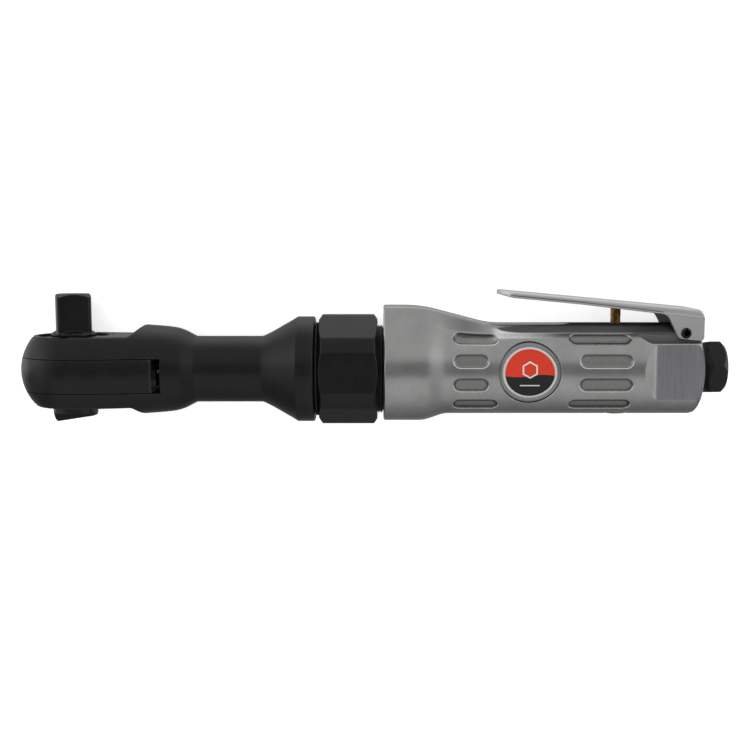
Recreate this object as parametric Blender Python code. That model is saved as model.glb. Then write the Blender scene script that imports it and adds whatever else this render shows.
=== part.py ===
"""Half-inch air ratchet, modelled lying on its side as it rests on a bench.

The tool axis runs along X, from the ratchet head to the air inlet. The square drive
points along +Y, and +Z is up. The frame's origin is the middle of the square drive's
end face. Lengths below are in millimetres, and become metres where a mesh or an empty is made.
Along X, places are measured from the anvil's axis. Along Y and Z, from the tool axis.
"""
import math

import bmesh
import bpy
from mathutils import Matrix, Vector

for old_object in list(bpy.data.objects):
    bpy.data.objects.remove(old_object, do_unlink=True)

# ---------------------------------------------------------------- driving dimensions (mm)
MM = 0.001                  # a millimetre in metres
GAP = 0.3                   # clearance between neighbouring pieces
CUT = 1.0                   # how far a cutter runs past the surface that it opens

DRIVE_SIZE = 12.7           # half-inch square
DRIVE_TIP = 28.5            # end face of the square above the tool axis
DRIVE_TURN = 18.0           # degrees that the square stands turned at rest

HEAD_RADIUS = 19.6          # turned blank of the head
FORK_TOP = 13.0
FORK_BOTTOM = -13.8
SLOT_TOP = 5.2
SLOT_BOTTOM = -7.8
SLOT_END = 35.1
YOKE_END = 31.9
RECESS_RADIUS = 15.0
RECESS_FLOOR = 11.0

NECK_RADIUS = 12.5
COLLAR_START = 85.2
COLLAR_END = 91.5
COLLAR_RADIUS = 19.9
THREAD_RADIUS = 16.6
NUT_START = 93.1
NUT_END = 115.1
NUT_FLATS = 38.6
NUT_ROUND = 20.75
HOUSING_END = 104.0
CLAMP_START = 104.8

HANDLE_START = 117.4
HANDLE_END = 236.3
BODY_RADIUS = 16.9
FLARE_RADIUS = 19.5
FLARE_TOP = 24.0
RIB_TOP = 17.3
RIB_HALF = 8.0
RIB_FOOT_HALF = 9.2
REAR_DECK = 10.6
SIDE_FLAT = 13.5
MOTOR_BORE = 14.3

BADGE_X = 171.0
BADGE_RADIUS = 11.4
BADGE_FLOOR = 16.0

LEVER_PIN_X = 229.3
LEVER_PIN_Y = 14.3
LEVER_TIP_X = 160.2
LEVER_END_X = 236.0
LEVER_TOP_AT_TIP = 30.1
LEVER_SLOPE = -0.0932
LEVER_HALF = 11.2
SHEET = 1.5

VALVE_X = 205.15
VALVE_PIN_RADIUS = 1.9
INLET_FLATS = 18.8
INLET_TURN = 38.0           # degrees that the inlet hexagon stands turned
INLET_Y = 0.6               # the inlet's axis lies a little off the tool axis
TOOL_END = 246.0

MODULE = 0.65               # gear tooth module
SUN_TEETH = 12
PLANET_TEETH = 12
RING_TEETH = 36
PLANET_ORBIT = MODULE * (SUN_TEETH + PLANET_TEETH) / 2
GEAR_START = 90.4
GEAR_END = 101.4
CRANK_THROW = 1.5
BORE_OFFSET = -0.6          # cylinder bore against the rotor axis

FINE = 32                   # sides of a large round piece
MEDIUM = 18                 # sides of a middling or hidden one
COARSE = 10                 # sides of a small one


# ---------------------------------------------------------------- materials
def make_material(name, colour, roughness, metallic):
    """A Principled material with one plain colour."""
    material = bpy.data.materials.new(name)
    material.use_nodes = True
    shader = material.node_tree.nodes["Principled BSDF"]
    shader.inputs["Base Color"].default_value = (*colour, 1.0)
    shader.inputs["Roughness"].default_value = roughness
    shader.inputs["Metallic"].default_value = metallic
    material.diffuse_color = (*colour, 1.0)
    return material


BLACK_STEEL = make_material("black_oxide_steel", (0.020, 0.020, 0.022), 0.38, 0.6)
BRIGHT_STEEL = make_material("bright_steel", (0.45, 0.45, 0.46), 0.28, 1.0)
SHEET_STEEL = make_material("satin_sheet_steel", (0.52, 0.52, 0.51), 0.35, 1.0)
SPRING_STEEL = make_material("spring_steel", (0.30, 0.30, 0.31), 0.30, 1.0)
ALUMINIUM = make_material("cast_aluminium", (0.42, 0.42, 0.41), 0.32, 1.0)
BRASS = make_material("brass", (0.42, 0.26, 0.09), 0.32, 1.0)
RUBBER = make_material("nitrile_rubber", (0.015, 0.015, 0.015), 0.70, 0.0)
VANE_RESIN = make_material("vane_resin", (0.16, 0.08, 0.04), 0.55, 0.0)
BADGE_PRINT = make_material("badge_print", (0.35, 0.03, 0.02), 0.35, 0.1)


# ---------------------------------------------------------------- frame of empties
def make_empty(name, place, parent=None):
    """An empty at a place in the parent's frame, in millimetres."""
    empty = bpy.data.objects.new(name, None)
    empty.location = Vector(place) * MM
    empty.parent = parent
    empty.empty_display_size = 0.01
    bpy.context.scene.collection.objects.link(empty)
    return empty


TOOL = make_empty("tool_frame", (0, -DRIVE_TIP, 0))
ANVIL = make_empty("anvil_axis", (0, 0, 0), TOOL)
DRIVE = make_empty("drive_square_turn", (0, 0, 0), ANVIL)
DRIVE.rotation_euler = (0, math.radians(DRIVE_TURN), 0)
KNOB = make_empty("plunger_turn", (0, -1.3, 0), ANVIL)
KNOB.rotation_euler = (0, math.radians(35), 0)
YOKE = make_empty("yoke_axis", (0, 0, 0), TOOL)
MOTOR = make_empty("motor_axis", (0, 0, 0), TOOL)
CRANK = make_empty("crank_axis", (0, 0, 0), TOOL)
LEVER = make_empty("lever_axis", (LEVER_PIN_X, LEVER_PIN_Y, 0), TOOL)
VALVE = make_empty("valve_axis", (VALVE_X, 0, 0), TOOL)


# ---------------------------------------------------------------- shape tools
AXES = {
    "X": Matrix(((0, 0, 1), (1, 0, 0), (0, 1, 0))).to_4x4(),
    "Y": Matrix(((1, 0, 0), (0, 0, 1), (0, -1, 0))).to_4x4(),
    "Z": Matrix.Identity(4),
}


def finish_mesh(name, bm, material, parent, place, smooth_angle=35.0):
    """Close a bmesh into a named object that stands at a place in its parent's frame."""
    bmesh.ops.recalc_face_normals(bm, faces=bm.faces)
    if bm.calc_volume(signed=True) < 0:
        bmesh.ops.reverse_faces(bm, faces=bm.faces)
    bmesh.ops.transform(bm, matrix=Matrix.Scale(MM, 4), verts=bm.verts)
    mesh = bpy.data.meshes.new(name)
    bm.to_mesh(mesh)
    bm.free()
    mesh.shade_smooth()
    mesh.set_sharp_from_angle(angle=math.radians(smooth_angle))
    if material:
        mesh.materials.append(material)
    piece = bpy.data.objects.new(name, mesh)
    piece.parent = parent
    piece.location = Vector(place) * MM
    bpy.context.scene.collection.objects.link(piece)
    return piece


def spun_bmesh(profile, axis, sides):
    """Turn (along, radius) points about an axis. Ends at radius 0 make a solid, else a ring."""
    bm = bmesh.new()
    verts = [bm.verts.new((radius, 0, along)) for along, radius in profile]
    edges = [bm.edges.new(pair) for pair in zip(verts, verts[1:])]
    if profile[0][1] > 0 or profile[-1][1] > 0:
        edges.append(bm.edges.new((verts[-1], verts[0])))
    bmesh.ops.spin(bm, geom=verts + edges, cent=(0, 0, 0), axis=(0, 0, 1),
                   angle=math.tau, steps=sides, use_merge=True)
    bmesh.ops.remove_doubles(bm, verts=bm.verts, dist=1e-4)
    bmesh.ops.transform(bm, matrix=AXES[axis], verts=bm.verts)
    return bm


def turned(name, profile, axis="X", sides=FINE, material=None, parent=TOOL, place=(0, 0, 0)):
    """A turned piece."""
    return finish_mesh(name, spun_bmesh(profile, axis, sides), material, parent, place)


def ring_profile(start, end, inner, outer):
    """The section of a plain ring."""
    return [(start, inner), (start, outer), (end, outer), (end, inner)]


def rod_profile(start, end, radius, chamfer=0.0):
    """Half the outline of a rod, with chamfered ends."""
    if chamfer == 0:
        return [(start, 0), (start, radius), (end, radius), (end, 0)]
    return [(start, 0), (start, radius - chamfer), (start + chamfer, radius),
            (end - chamfer, radius), (end, radius - chamfer), (end, 0)]


def prism(name, outline, start, end, axis="Z", material=None, parent=TOOL, place=(0, 0, 0)):
    """Extrude a flat outline along an axis. The outline is (y, z), (x, z) or (x, y)."""
    spots = {
        "X": lambda u, v, w: (w, u, v),
        "Y": lambda u, v, w: (u, w, v),
        "Z": lambda u, v, w: (u, v, w),
    }[axis]
    bm = bmesh.new()
    base = bm.faces.new([bm.verts.new(spots(u, v, start)) for u, v in outline])
    extruded = bmesh.ops.extrude_face_region(bm, geom=[base])
    moved = [item for item in extruded["geom"] if isinstance(item, bmesh.types.BMVert)]
    bmesh.ops.translate(bm, verts=moved, vec=spots(0, 0, end - start))
    return finish_mesh(name, bm, material, parent, place)


def box(name, low, high, **options):
    """An upright block between two corners."""
    outline = [(low[0], low[1]), (high[0], low[1]), (high[0], high[1]), (low[0], high[1])]
    return prism(name, outline, low[2], high[2], "Z", **options)


def arc(centre, radius, start, end, steps):
    """Points on a circle, from one angle to another, in degrees."""
    points = []
    for step in range(steps + 1):
        angle = math.radians(start + (end - start) * step / steps)
        points.append((centre[0] + radius * math.cos(angle), centre[1] + radius * math.sin(angle)))
    return points


def combine(piece, tool, operation="DIFFERENCE"):
    """Cut or join a piece with another object, which is then only a guide."""
    tool.hide_render = True
    tool.display_type = "WIRE"
    modifier = piece.modifiers.new(operation.title() + "_" + tool.name, "BOOLEAN")
    modifier.operation = operation
    modifier.object = tool
    modifier.solver = "EXACT"
    return piece


def hex_points(across_flats, turn=0.0):
    """The corners of a hexagon. Turn 0 puts flats square to the second coordinate."""
    return arc((0, 0), across_flats / math.sqrt(3), turn, turn + 300, 5)


def rounded_hexagon(across_flats, round_radius, steps=4):
    """A hexagon whose corners are turned down to a circle, flats square to Z."""
    half = math.degrees(math.acos(across_flats / 2 / round_radius))
    points = []
    for side in range(6):
        middle = 60 * side
        points += arc((0, 0), round_radius, middle - 30 + half, middle + 30 - half, steps)
    return points


def slot_points(length_start, length_end, width, steps=3):
    """A straight slot with round ends, along the first coordinate."""
    radius = width / 2
    left = arc((length_start + radius, 0), radius, 90, 270, steps)
    right = arc((length_end - radius, 0), radius, -90, 90, steps)
    return left + right


def gear_outline(teeth, module, turn=0.0, internal=False):
    """Straight-flanked teeth with backlash, with a tooth centred on the angle turn."""
    pitch_radius = module * teeth / 2
    tip = pitch_radius + (-0.8 if internal else 0.8) * module
    root = pitch_radius + (1.25 if internal else -1.25) * module
    pitch = 360 / teeth
    points = []
    for tooth in range(teeth):
        middle = turn + tooth * pitch
        for radius, share in ((root, -0.34), (tip, -0.12), (tip, 0.12), (root, 0.34)):
            angle = math.radians(middle + share * pitch)
            points.append((radius * math.cos(angle), radius * math.sin(angle)))
    return points


def coil_spring(name, start, end, coil_radius, wire_radius, turns, axis, parent, place):
    """A coil of round wire with square ends cut off flat enough to sit on."""
    steps = 7 * turns
    sides = 4
    spine = []
    for step in range(steps + 1):
        angle = math.tau * turns * step / steps
        along = start + wire_radius + (end - start - 2 * wire_radius) * step / steps
        spine.append(Vector((coil_radius * math.cos(angle), coil_radius * math.sin(angle), along)))
    bm = bmesh.new()
    rings = []
    for index, centre in enumerate(spine):
        before = spine[max(index - 1, 0)]
        after = spine[min(index + 1, steps)]
        tangent = (after - before).normalized()
        outward = Vector((centre.x, centre.y, 0)).normalized()
        binormal = tangent.cross(outward).normalized()
        ring = []
        for side in range(sides):
            angle = math.tau * side / sides
            offset = outward * math.cos(angle) + binormal * math.sin(angle)
            ring.append(bm.verts.new(centre + offset * wire_radius))
        rings.append(ring)
    for low, high in zip(rings, rings[1:]):
        for side in range(sides):
            following = (side + 1) % sides
            bm.faces.new((low[side], low[following], high[following], high[side]))
    bm.faces.new(list(reversed(rings[0])))
    bm.faces.new(rings[-1])
    bmesh.ops.transform(bm, matrix=AXES[axis], verts=bm.verts)
    return finish_mesh(name, bm, SPRING_STEEL, parent, place)


# ---------------------------------------------------------------- ratchet head
def head_profile():
    """The turned blank of the head, from its ball nose to the neck."""
    nose = [(along, radius) for along, radius in arc((0, 0), HEAD_RADIUS, 180, 90, 7)]
    nose[0] = (-HEAD_RADIUS, 0)
    shoulder = [(8.0, 19.4), (18.0, 18.3), (27.2, 16.95), (33.0, 16.5), (38.5, 15.9),
                (42.0, 14.9), (44.6, 13.6), (46.7, NECK_RADIUS)]
    return nose + shoulder


def build_ratchet_housing():
    """Forked head, neck, flared collar and male thread in one forging."""
    profile = head_profile() + [
        (71.5, NECK_RADIUS), (74.5, 13.6), (80.0, 16.9), (84.0, 19.3),
        (COLLAR_START, COLLAR_RADIUS), (COLLAR_END - 0.4, COLLAR_RADIUS), (COLLAR_END, 19.5),
        (COLLAR_END, THREAD_RADIUS), (HOUSING_END, THREAD_RADIUS), (HOUSING_END, 15.0),
        (78.2, 15.0), (74.5, 9.1), (SLOT_END - CUT, 9.1), (SLOT_END - CUT, 0)]
    housing = turned("ratchet_housing", profile, material=BLACK_STEEL)
    # Flats above and below the fork, each ending in a ramp up to the shoulder.
    for name, level, ramp_foot, ramp_head, side in (
            ("cut_fork_top", FORK_TOP, 22.8, 27.2, 1), ("cut_fork_bottom", FORK_BOTTOM, 23.4, 27.2, -1)):
        outline = [(-25, level), (ramp_foot, level), (ramp_head + 0.8, level + side * 4.8),
                   (ramp_head + 0.8, level + side * 12), (-25, level + side * 12)]
        combine(housing, prism(name, outline, -25, 25, "Z"))
    combine(housing, box("cut_fork_slot", (-25, SLOT_BOTTOM, -25), (SLOT_END, SLOT_TOP, 25)))
    bores = [(FORK_BOTTOM - CUT, 0), (FORK_BOTTOM - CUT, 9.3), (0, 9.3), (0, 11.3),
             (RECESS_FLOOR, 11.3), (RECESS_FLOOR, RECESS_RADIUS), (FORK_TOP + CUT, RECESS_RADIUS),
             (FORK_TOP + CUT, 0)]
    combine(housing, turned("cut_anvil_bores", bores, "Y"))
    return housing


def build_ratchet_yoke():
    """Rocking yoke: a ring with inner ratchet teeth, and a forked tail for the crank."""
    low = SLOT_BOTTOM + GAP
    high = SLOT_TOP - GAP
    profile = head_profile()[:11] + [(YOKE_END, 16.6), (YOKE_END, 0)]
    yoke = turned("ratchet_yoke", profile, material=BLACK_STEEL, parent=YOKE)
    combine(yoke, box("cut_yoke_above", (-25, high, -25), (40, 25, 25), parent=YOKE))
    combine(yoke, box("cut_yoke_below", (-25, -25, -25), (40, low, 25), parent=YOKE))
    teeth = 30
    outline = []
    for tooth in range(teeth):
        for radius, share in ((12.4, -0.42), (10.95, -0.06), (10.95, 0.06), (12.4, 0.42)):
            angle = math.tau * (tooth + share) / teeth
            outline.append((radius * math.cos(angle), radius * math.sin(angle)))
    combine(yoke, prism("cut_yoke_teeth", outline, low - CUT, high + CUT, "Y", parent=YOKE))
    mouth = [(21.6, -5.5), (20.2, -3.0), (20.2, 3.0), (21.6, 5.5), (22.8, 7.2), (35, 7.2),
             (35, -7.2), (22.8, -7.2)]
    combine(yoke, prism("cut_yoke_mouth", mouth, low - CUT, high + CUT, "Y", parent=YOKE))
    return yoke


def build_anvil():
    """Output anvil: lower journal, pawl core, upper journal, collar and square drive."""
    profile = [(-13.4, 3.7), (-13.4, 9.0), (-7.6, 9.0), (-7.4, 10.4), (4.9, 10.4), (5.2, 11.0),
               (11.0, 11.0), (11.0, 8.3), (13.4, 8.3), (14.6, 6.2), (14.6, 0), (2.2, 0), (2.2, 3.7)]
    anvil = turned("square_drive_anvil", profile, "Y", material=BLACK_STEEL, parent=ANVIL)
    half = DRIVE_SIZE / 2
    corner = 1.6
    chamfer = 1.0
    outline = []
    for cx, cz, start in ((1, 1, 0), (-1, 1, 90), (-1, -1, 180), (1, -1, 270)):
        outline += arc((cx * (half - corner), cz * (half - corner)), corner, start, start + 90, 4)
    combine(anvil, prism("join_drive_square", outline, 10.0, DRIVE_TIP, "Y", parent=DRIVE), "UNION")
    rim = [(DRIVE_TIP - chamfer, 9.2), (DRIVE_TIP - chamfer, 12), (DRIVE_TIP + CUT, 12),
           (DRIVE_TIP + CUT, 6.0), (DRIVE_TIP, 7.0)]
    combine(anvil, turned("cut_drive_rim", rim, "Y", parent=ANVIL))
    combine(anvil, box("cut_pawl_slot", (3.2, -4.6, -12), (12, 2.0, 12), parent=ANVIL))
    combine(anvil, turned("cut_pawl_pin_hole", rod_profile(-6.6, 4.2, 1.25), "Y", COARSE,
                          parent=ANVIL, place=(7.2, 0, 0)))
    combine(anvil, turned("cut_ball_hole", rod_profile(-9, -0.1, 1.75), "Z", COARSE, parent=DRIVE,
                          place=(0, 21.5, 0)))
    return anvil


def build_pawl_parts():
    """Double-ended pawl on its pin, and the reversing knob that tips it."""
    upper = [(9.0, 0), (8.7, 3.0), (8.25, 5.9), (7.0, 6.9), (4.9, 4.6), (4.1, 2.0), (4.05, 0)]
    lower = [(x, -z) for x, z in reversed(upper[1:-1])]
    pivot = 7.2
    outline = [(x - pivot, z) for x, z in upper + lower]
    pawl = prism("ratchet_pawl", outline, -4.2, 1.6, "Y", material=BRIGHT_STEEL, parent=ANVIL,
                 place=(pivot, 0, 0))
    pawl.rotation_euler = (0, math.radians(-2.5), 0)
    hole = turned("cut_pawl_hole", rod_profile(-6, 4, 1.3), "Y", COARSE, parent=ANVIL,
                  place=(pivot, 0, 0))
    combine(pawl, hole)
    turned("pawl_pin", rod_profile(-6.3, 3.9, 0.95, 0.2), "Y", COARSE, BRIGHT_STEEL, ANVIL,
           (pivot, 0, 0))
    knob_profile = [(-20.2, 0), (-20.2, 5.6), (-19.4, 7.4), (-16.4, 8.3), (-14.1, 8.3),
                    (-14.1, 3.3), (1.6, 3.3), (1.6, 0)]
    knob = turned("reversing_knob", knob_profile, "Y", material=BLACK_STEEL, parent=ANVIL)
    slope = [(-12, -20.65), (12, -16.9), (12, -24), (-12, -24)]
    combine(knob, prism("cut_knob_slope", slope, -12, 12, "Z", parent=ANVIL))
    for side in (-1, 1):
        low, high = sorted((side * 3.2, side * 12))
        combine(knob, box("cut_knob_side_%d" % side, (-12, -22, low), (12, -16.4, high), parent=ANVIL))
    combine(knob, turned("cut_plunger_hole", rod_profile(-1.9, 5, 1.35), "X", COARSE, parent=KNOB))
    turned("reversing_plunger", [(1.2, 0), (1.2, 1.05), (2.6, 1.05), (3.2, 0.6), (3.4, 0)], "X",
           12, BRIGHT_STEEL, KNOB)
    coil_spring("reversing_spring", -1.6, 0.9, 0.75, 0.18, 4, "X", KNOB, (0, 0, 0))


def build_head_small_parts():
    """Washer and snap ring over the anvil's shoulder, and the socket ball in the square."""
    turned("anvil_thrust_washer", ring_profile(11.3, 12.0, 8.7, 14.6), "Y", FINE, BLACK_STEEL)
    turned("anvil_snap_ring", ring_profile(12.3, 12.9, 13.2, 14.7), "Y", FINE, BLACK_STEEL)
    ball = [(along, max(radius, 0.0)) for along, radius in arc((0, 0), 1.45, 180, 0, 8)]
    ball[0] = (-1.45, 0)
    ball[-1] = (1.45, 0)
    turned("socket_ball", ball, "Z", 12, BRIGHT_STEEL, DRIVE, (0, 21.5, -5.2))
    coil_spring("socket_ball_spring", -3.5, -0.4, 0.95, 0.22, 4, "Z", DRIVE, (0, 21.5, 0))


# ---------------------------------------------------------------- crank and planetary gears
def build_crankshaft():
    """Crankshaft: offset pin for the yoke, main journal and the planet carrier disc."""
    shaft = turned("crankshaft", [(33.0, 0), (33.0, 4.7), (35.6, 4.7), (35.6, 6.0), (77.4, 6.0),
                                  (78.6, 13.4), (88.0, 13.4), (88.0, 5.0), (84.0, 5.0), (84.0, 0)],
                   material=BRIGHT_STEEL, parent=CRANK)
    pin = turned("join_crank_pin", rod_profile(21.8, 34.0, 2.0), "X", COARSE, parent=CRANK,
                 place=(0, CRANK_THROW, 0))
    combine(shaft, pin, "UNION")
    turned("drive_bushing", ring_profile(22.6, 31.6, 2.3, 3.4), "X", MEDIUM, BRIGHT_STEEL, CRANK,
           (0, CRANK_THROW, 0))
    turned("front_needle_bearing", ring_profile(38.0, 52.0, 6.3, 8.8), "X", MEDIUM, BRIGHT_STEEL)
    turned("rear_needle_bearing", ring_profile(58.0, 72.0, 6.3, 8.8), "X", MEDIUM, BRIGHT_STEEL)
    for index in range(3):
        angle = math.radians(120 * index)
        spot = (0, PLANET_ORBIT * math.cos(angle), PLANET_ORBIT * math.sin(angle))
        socket = turned("cut_carrier_hole_%d" % (index + 1), rod_profile(82.0, 90.0, 1.5), "X", COARSE,
                        parent=CRANK, place=spot)
        combine(shaft, socket)
        turned("planet_pin_%d" % (index + 1), rod_profile(82.4, 101.2, 1.2), "X", COARSE,
               BRIGHT_STEEL, CRANK, spot)
    return shaft


def build_gears():
    """Three planets between the rotor's pinion and the fixed ring gear."""
    for index in range(3):
        turn = 120 * index
        angle = math.radians(turn)
        spot = (0, PLANET_ORBIT * math.cos(angle), PLANET_ORBIT * math.sin(angle))
        outline = gear_outline(PLANET_TEETH, MODULE, turn + 180 / PLANET_TEETH)
        planet = prism("planet_gear_%d" % (index + 1), outline, GEAR_START, GEAR_END, "X",
                       BRIGHT_STEEL, CRANK, spot)
        bore = turned("cut_planet_bore_%d" % (index + 1),
                      rod_profile(GEAR_START - CUT, GEAR_END + CUT, 1.5), "X", COARSE, parent=CRANK,
                      place=spot)
        combine(planet, bore)
    ring = turned("ring_gear", rod_profile(GEAR_START, GEAR_END, 14.7), "X", FINE, BRIGHT_STEEL)
    teeth = gear_outline(RING_TEETH, MODULE, 0.0, internal=True)
    combine(ring, prism("cut_ring_teeth", teeth, GEAR_START - CUT, GEAR_END + CUT, "X"))
    turned("gear_thrust_washer", ring_profile(88.4, 90.0, 13.2, 14.6), "X", MEDIUM, BRASS)


def build_coupling():
    """Hexagonal coupling nut, its sealing ring, and the threaded clamp ring behind it."""
    bevel = 1.3
    nut = prism("coupling_nut", rounded_hexagon(NUT_FLATS, NUT_ROUND), NUT_START, NUT_END, "X",
                BLACK_STEEL)
    turn_down = [(NUT_START - CUT, NUT_FLATS / 2 - 1.0), (NUT_START, NUT_FLATS / 2 - 0.4),
                 (NUT_START + bevel, NUT_ROUND + 0.1), (NUT_END - bevel, NUT_ROUND + 0.1),
                 (NUT_END, NUT_FLATS / 2 - 0.4), (NUT_END + CUT, NUT_FLATS / 2 - 1.0)]
    envelope = turned("keep_nut_chamfers",
                      [(NUT_START - CUT, 0)] + turn_down + [(NUT_END + CUT, 0)], "X", 48)
    combine(nut, envelope, "INTERSECT")
    combine(nut, turned("cut_nut_bore", rod_profile(NUT_START - CUT, NUT_END + CUT, 17.1)))
    turned("coupling_o_ring", [(91.9, 16.9), (92.1, 17.8), (92.5, 18.1), (92.8, 17.4), (92.7, 16.9)],
           "X", FINE, RUBBER)
    turned("clamp_ring", [(CLAMP_START, 14.4), (CLAMP_START, 16.7), (117.1, 16.7), (117.1, 15.7),
                          (127.0, 15.7), (127.0, 14.4)], "X", FINE, BLACK_STEEL)


# ---------------------------------------------------------------- vane motor
def build_motor():
    """End plates, bearings, offset cylinder, rotor with its pinion, and five vanes."""
    turned("front_endplate", [(105.2, 3.6), (105.2, 14.1), (111.0, 14.1), (111.0, 6.4), (107.0, 6.4),
                              (107.0, 3.6)], "X", MEDIUM, BRIGHT_STEEL)
    turned("front_ball_bearing", ring_profile(107.3, 110.9, 3.3, 6.1), "X", MEDIUM, BRIGHT_STEEL)
    cylinder = turned("motor_cylinder", rod_profile(111.3, 151.0, 14.0), "X", MEDIUM, BRIGHT_STEEL)
    combine(cylinder, turned("cut_cylinder_bore", rod_profile(110, 152, 11.3), "X", MEDIUM,
                             place=(0, BORE_OFFSET, 0)))
    for index in range(3):
        port = box("cut_exhaust_port_%d" % (index + 1), (122 + 8 * index, -16, -2.5),
                   (126 + 8 * index, -9, 2.5))
        combine(cylinder, port)
    combine(cylinder, turned("cut_dowel_hole", rod_profile(146, 152, 1.0), "X", 12, place=(0, 12.3, 0)))
    rotor = turned("rotor", [(111.6, 0), (111.6, 10.3), (150.7, 10.3), (150.7, 3.0), (157.6, 3.0),
                             (157.6, 0)], "X", 20, BRIGHT_STEEL, MOTOR)
    combine(rotor, turned("join_rotor_shaft", rod_profile(100.0, 115.0, 2.95), "X", MEDIUM,
                          parent=MOTOR), "UNION")
    pinion = prism("join_pinion", gear_outline(SUN_TEETH, MODULE), GEAR_START, GEAR_END + 1.6, "X",
                   parent=MOTOR)
    combine(rotor, pinion, "UNION")
    for index in range(5):
        angle = math.radians(72 * index + 36)
        slot = box("cut_vane_slot_%d" % (index + 1), (110, 4.6, -0.95), (152, 12, 0.95), parent=MOTOR)
        slot.rotation_euler = (angle, 0, 0)
        combine(rotor, slot)
        vane = box("rotor_vane_%d" % (index + 1), (112.0, 5.0, -0.65), (150.3, 10.2, 0.65),
                   material=VANE_RESIN, parent=MOTOR)
        vane.rotation_euler = (angle, 0, 0)
    turned("rear_endplate", [(151.3, 6.4), (151.3, 14.1), (157.0, 14.1), (157.0, 3.6), (155.4, 3.6),
                             (155.4, 6.4)], "X", MEDIUM, BRIGHT_STEEL)
    rear_plate = bpy.data.objects["rear_endplate"]
    combine(rear_plate, turned("cut_plate_dowel_hole", rod_profile(150, 154, 1.0), "X", 12,
                               place=(0, 12.3, 0)))
    turned("rear_ball_bearing", ring_profile(151.5, 155.1, 3.3, 6.1), "X", MEDIUM, BRIGHT_STEEL)
    turned("cylinder_dowel", rod_profile(146.4, 153.6, 0.7), "X", 12, BRIGHT_STEEL, TOOL, (0, 12.3, 0))
    turned("motor_gasket", ring_profile(157.4, 158.4, 11.5, 14.0), "X", MEDIUM, RUBBER)


# ---------------------------------------------------------------- handle
def handle_section(x, radius, top, half, ribbed):
    """One outline of the handle, as (x, y, z) points, from the middle of its back round to it.

    The flat back is joined to the round body by tangent flanks, or, where ribbed is 1, by the
    steep sides of a rib.
    """
    corner = 1.6
    reach = math.hypot(half - corner, top - corner)
    tangent = math.atan2(top - corner, half - corner) - math.acos((radius - corner) / reach)
    rib_foot = math.radians(56.4)
    leave = tangent + (math.radians(14) - tangent) * ribbed
    land = tangent + (rib_foot - tangent) * ribbed
    right = []
    for step in range(4):
        angle = math.pi / 2 + (leave - math.pi / 2) * step / 3
        right.append((half - corner + corner * math.cos(angle), top - corner + corner * math.sin(angle)))
    for step in range(13):
        angle = land + (-math.pi / 2 - land) * step / 12
        right.append((radius * math.cos(angle), radius * math.sin(angle)))
    left = [(-z, y) for z, y in reversed(right[:-1])]
    return [(x, y, z) for z, y in right + left]


def build_handle_blank():
    """The handle's outer skin, before it is bored and milled."""
    stations = (
        (HANDLE_START, FLARE_RADIUS - 0.6, FLARE_TOP - 0.6, 8.9, 0.0),
        (HANDLE_START + 0.8, FLARE_RADIUS, FLARE_TOP, 9.3, 0.0),
        (131.6, FLARE_RADIUS, FLARE_TOP, 9.3, 0.0),
        (135.5, 18.8, 22.95, 9.2, 0.0),
        (138.5, 17.4, 22.15, 9.2, 0.0),
        (141.6, BODY_RADIUS, 21.35, 9.1, 0.0),
        (149.0, BODY_RADIUS, 19.4, 8.9, 0.1),
        (157.2, BODY_RADIUS, RIB_TOP, 8.6, 0.6),
        (163.0, BODY_RADIUS, RIB_TOP, RIB_HALF, 1.0),
        (HANDLE_END - 3.3, BODY_RADIUS, RIB_TOP, RIB_HALF, 1.0),
        (HANDLE_END - 1.6, BODY_RADIUS - 1.1, RIB_TOP, RIB_HALF, 1.0),
        (HANDLE_END - 0.5, BODY_RADIUS - 3.2, RIB_TOP - 0.1, RIB_HALF, 1.0),
        (HANDLE_END, BODY_RADIUS - 5.6, RIB_TOP - 0.6, RIB_HALF - 0.4, 1.0))
    bm = bmesh.new()
    loops = [[bm.verts.new(point) for point in handle_section(*station)] for station in stations]
    for near, far in zip(loops, loops[1:]):
        for index in range(len(near)):
            following = (index + 1) % len(near)
            bm.faces.new((near[index], near[following], far[following], far[index]))
    bm.faces.new(loops[0])
    bm.faces.new(loops[-1])
    return finish_mesh("motor_housing", bm, ALUMINIUM, TOOL, (0, 0, 0))


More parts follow.
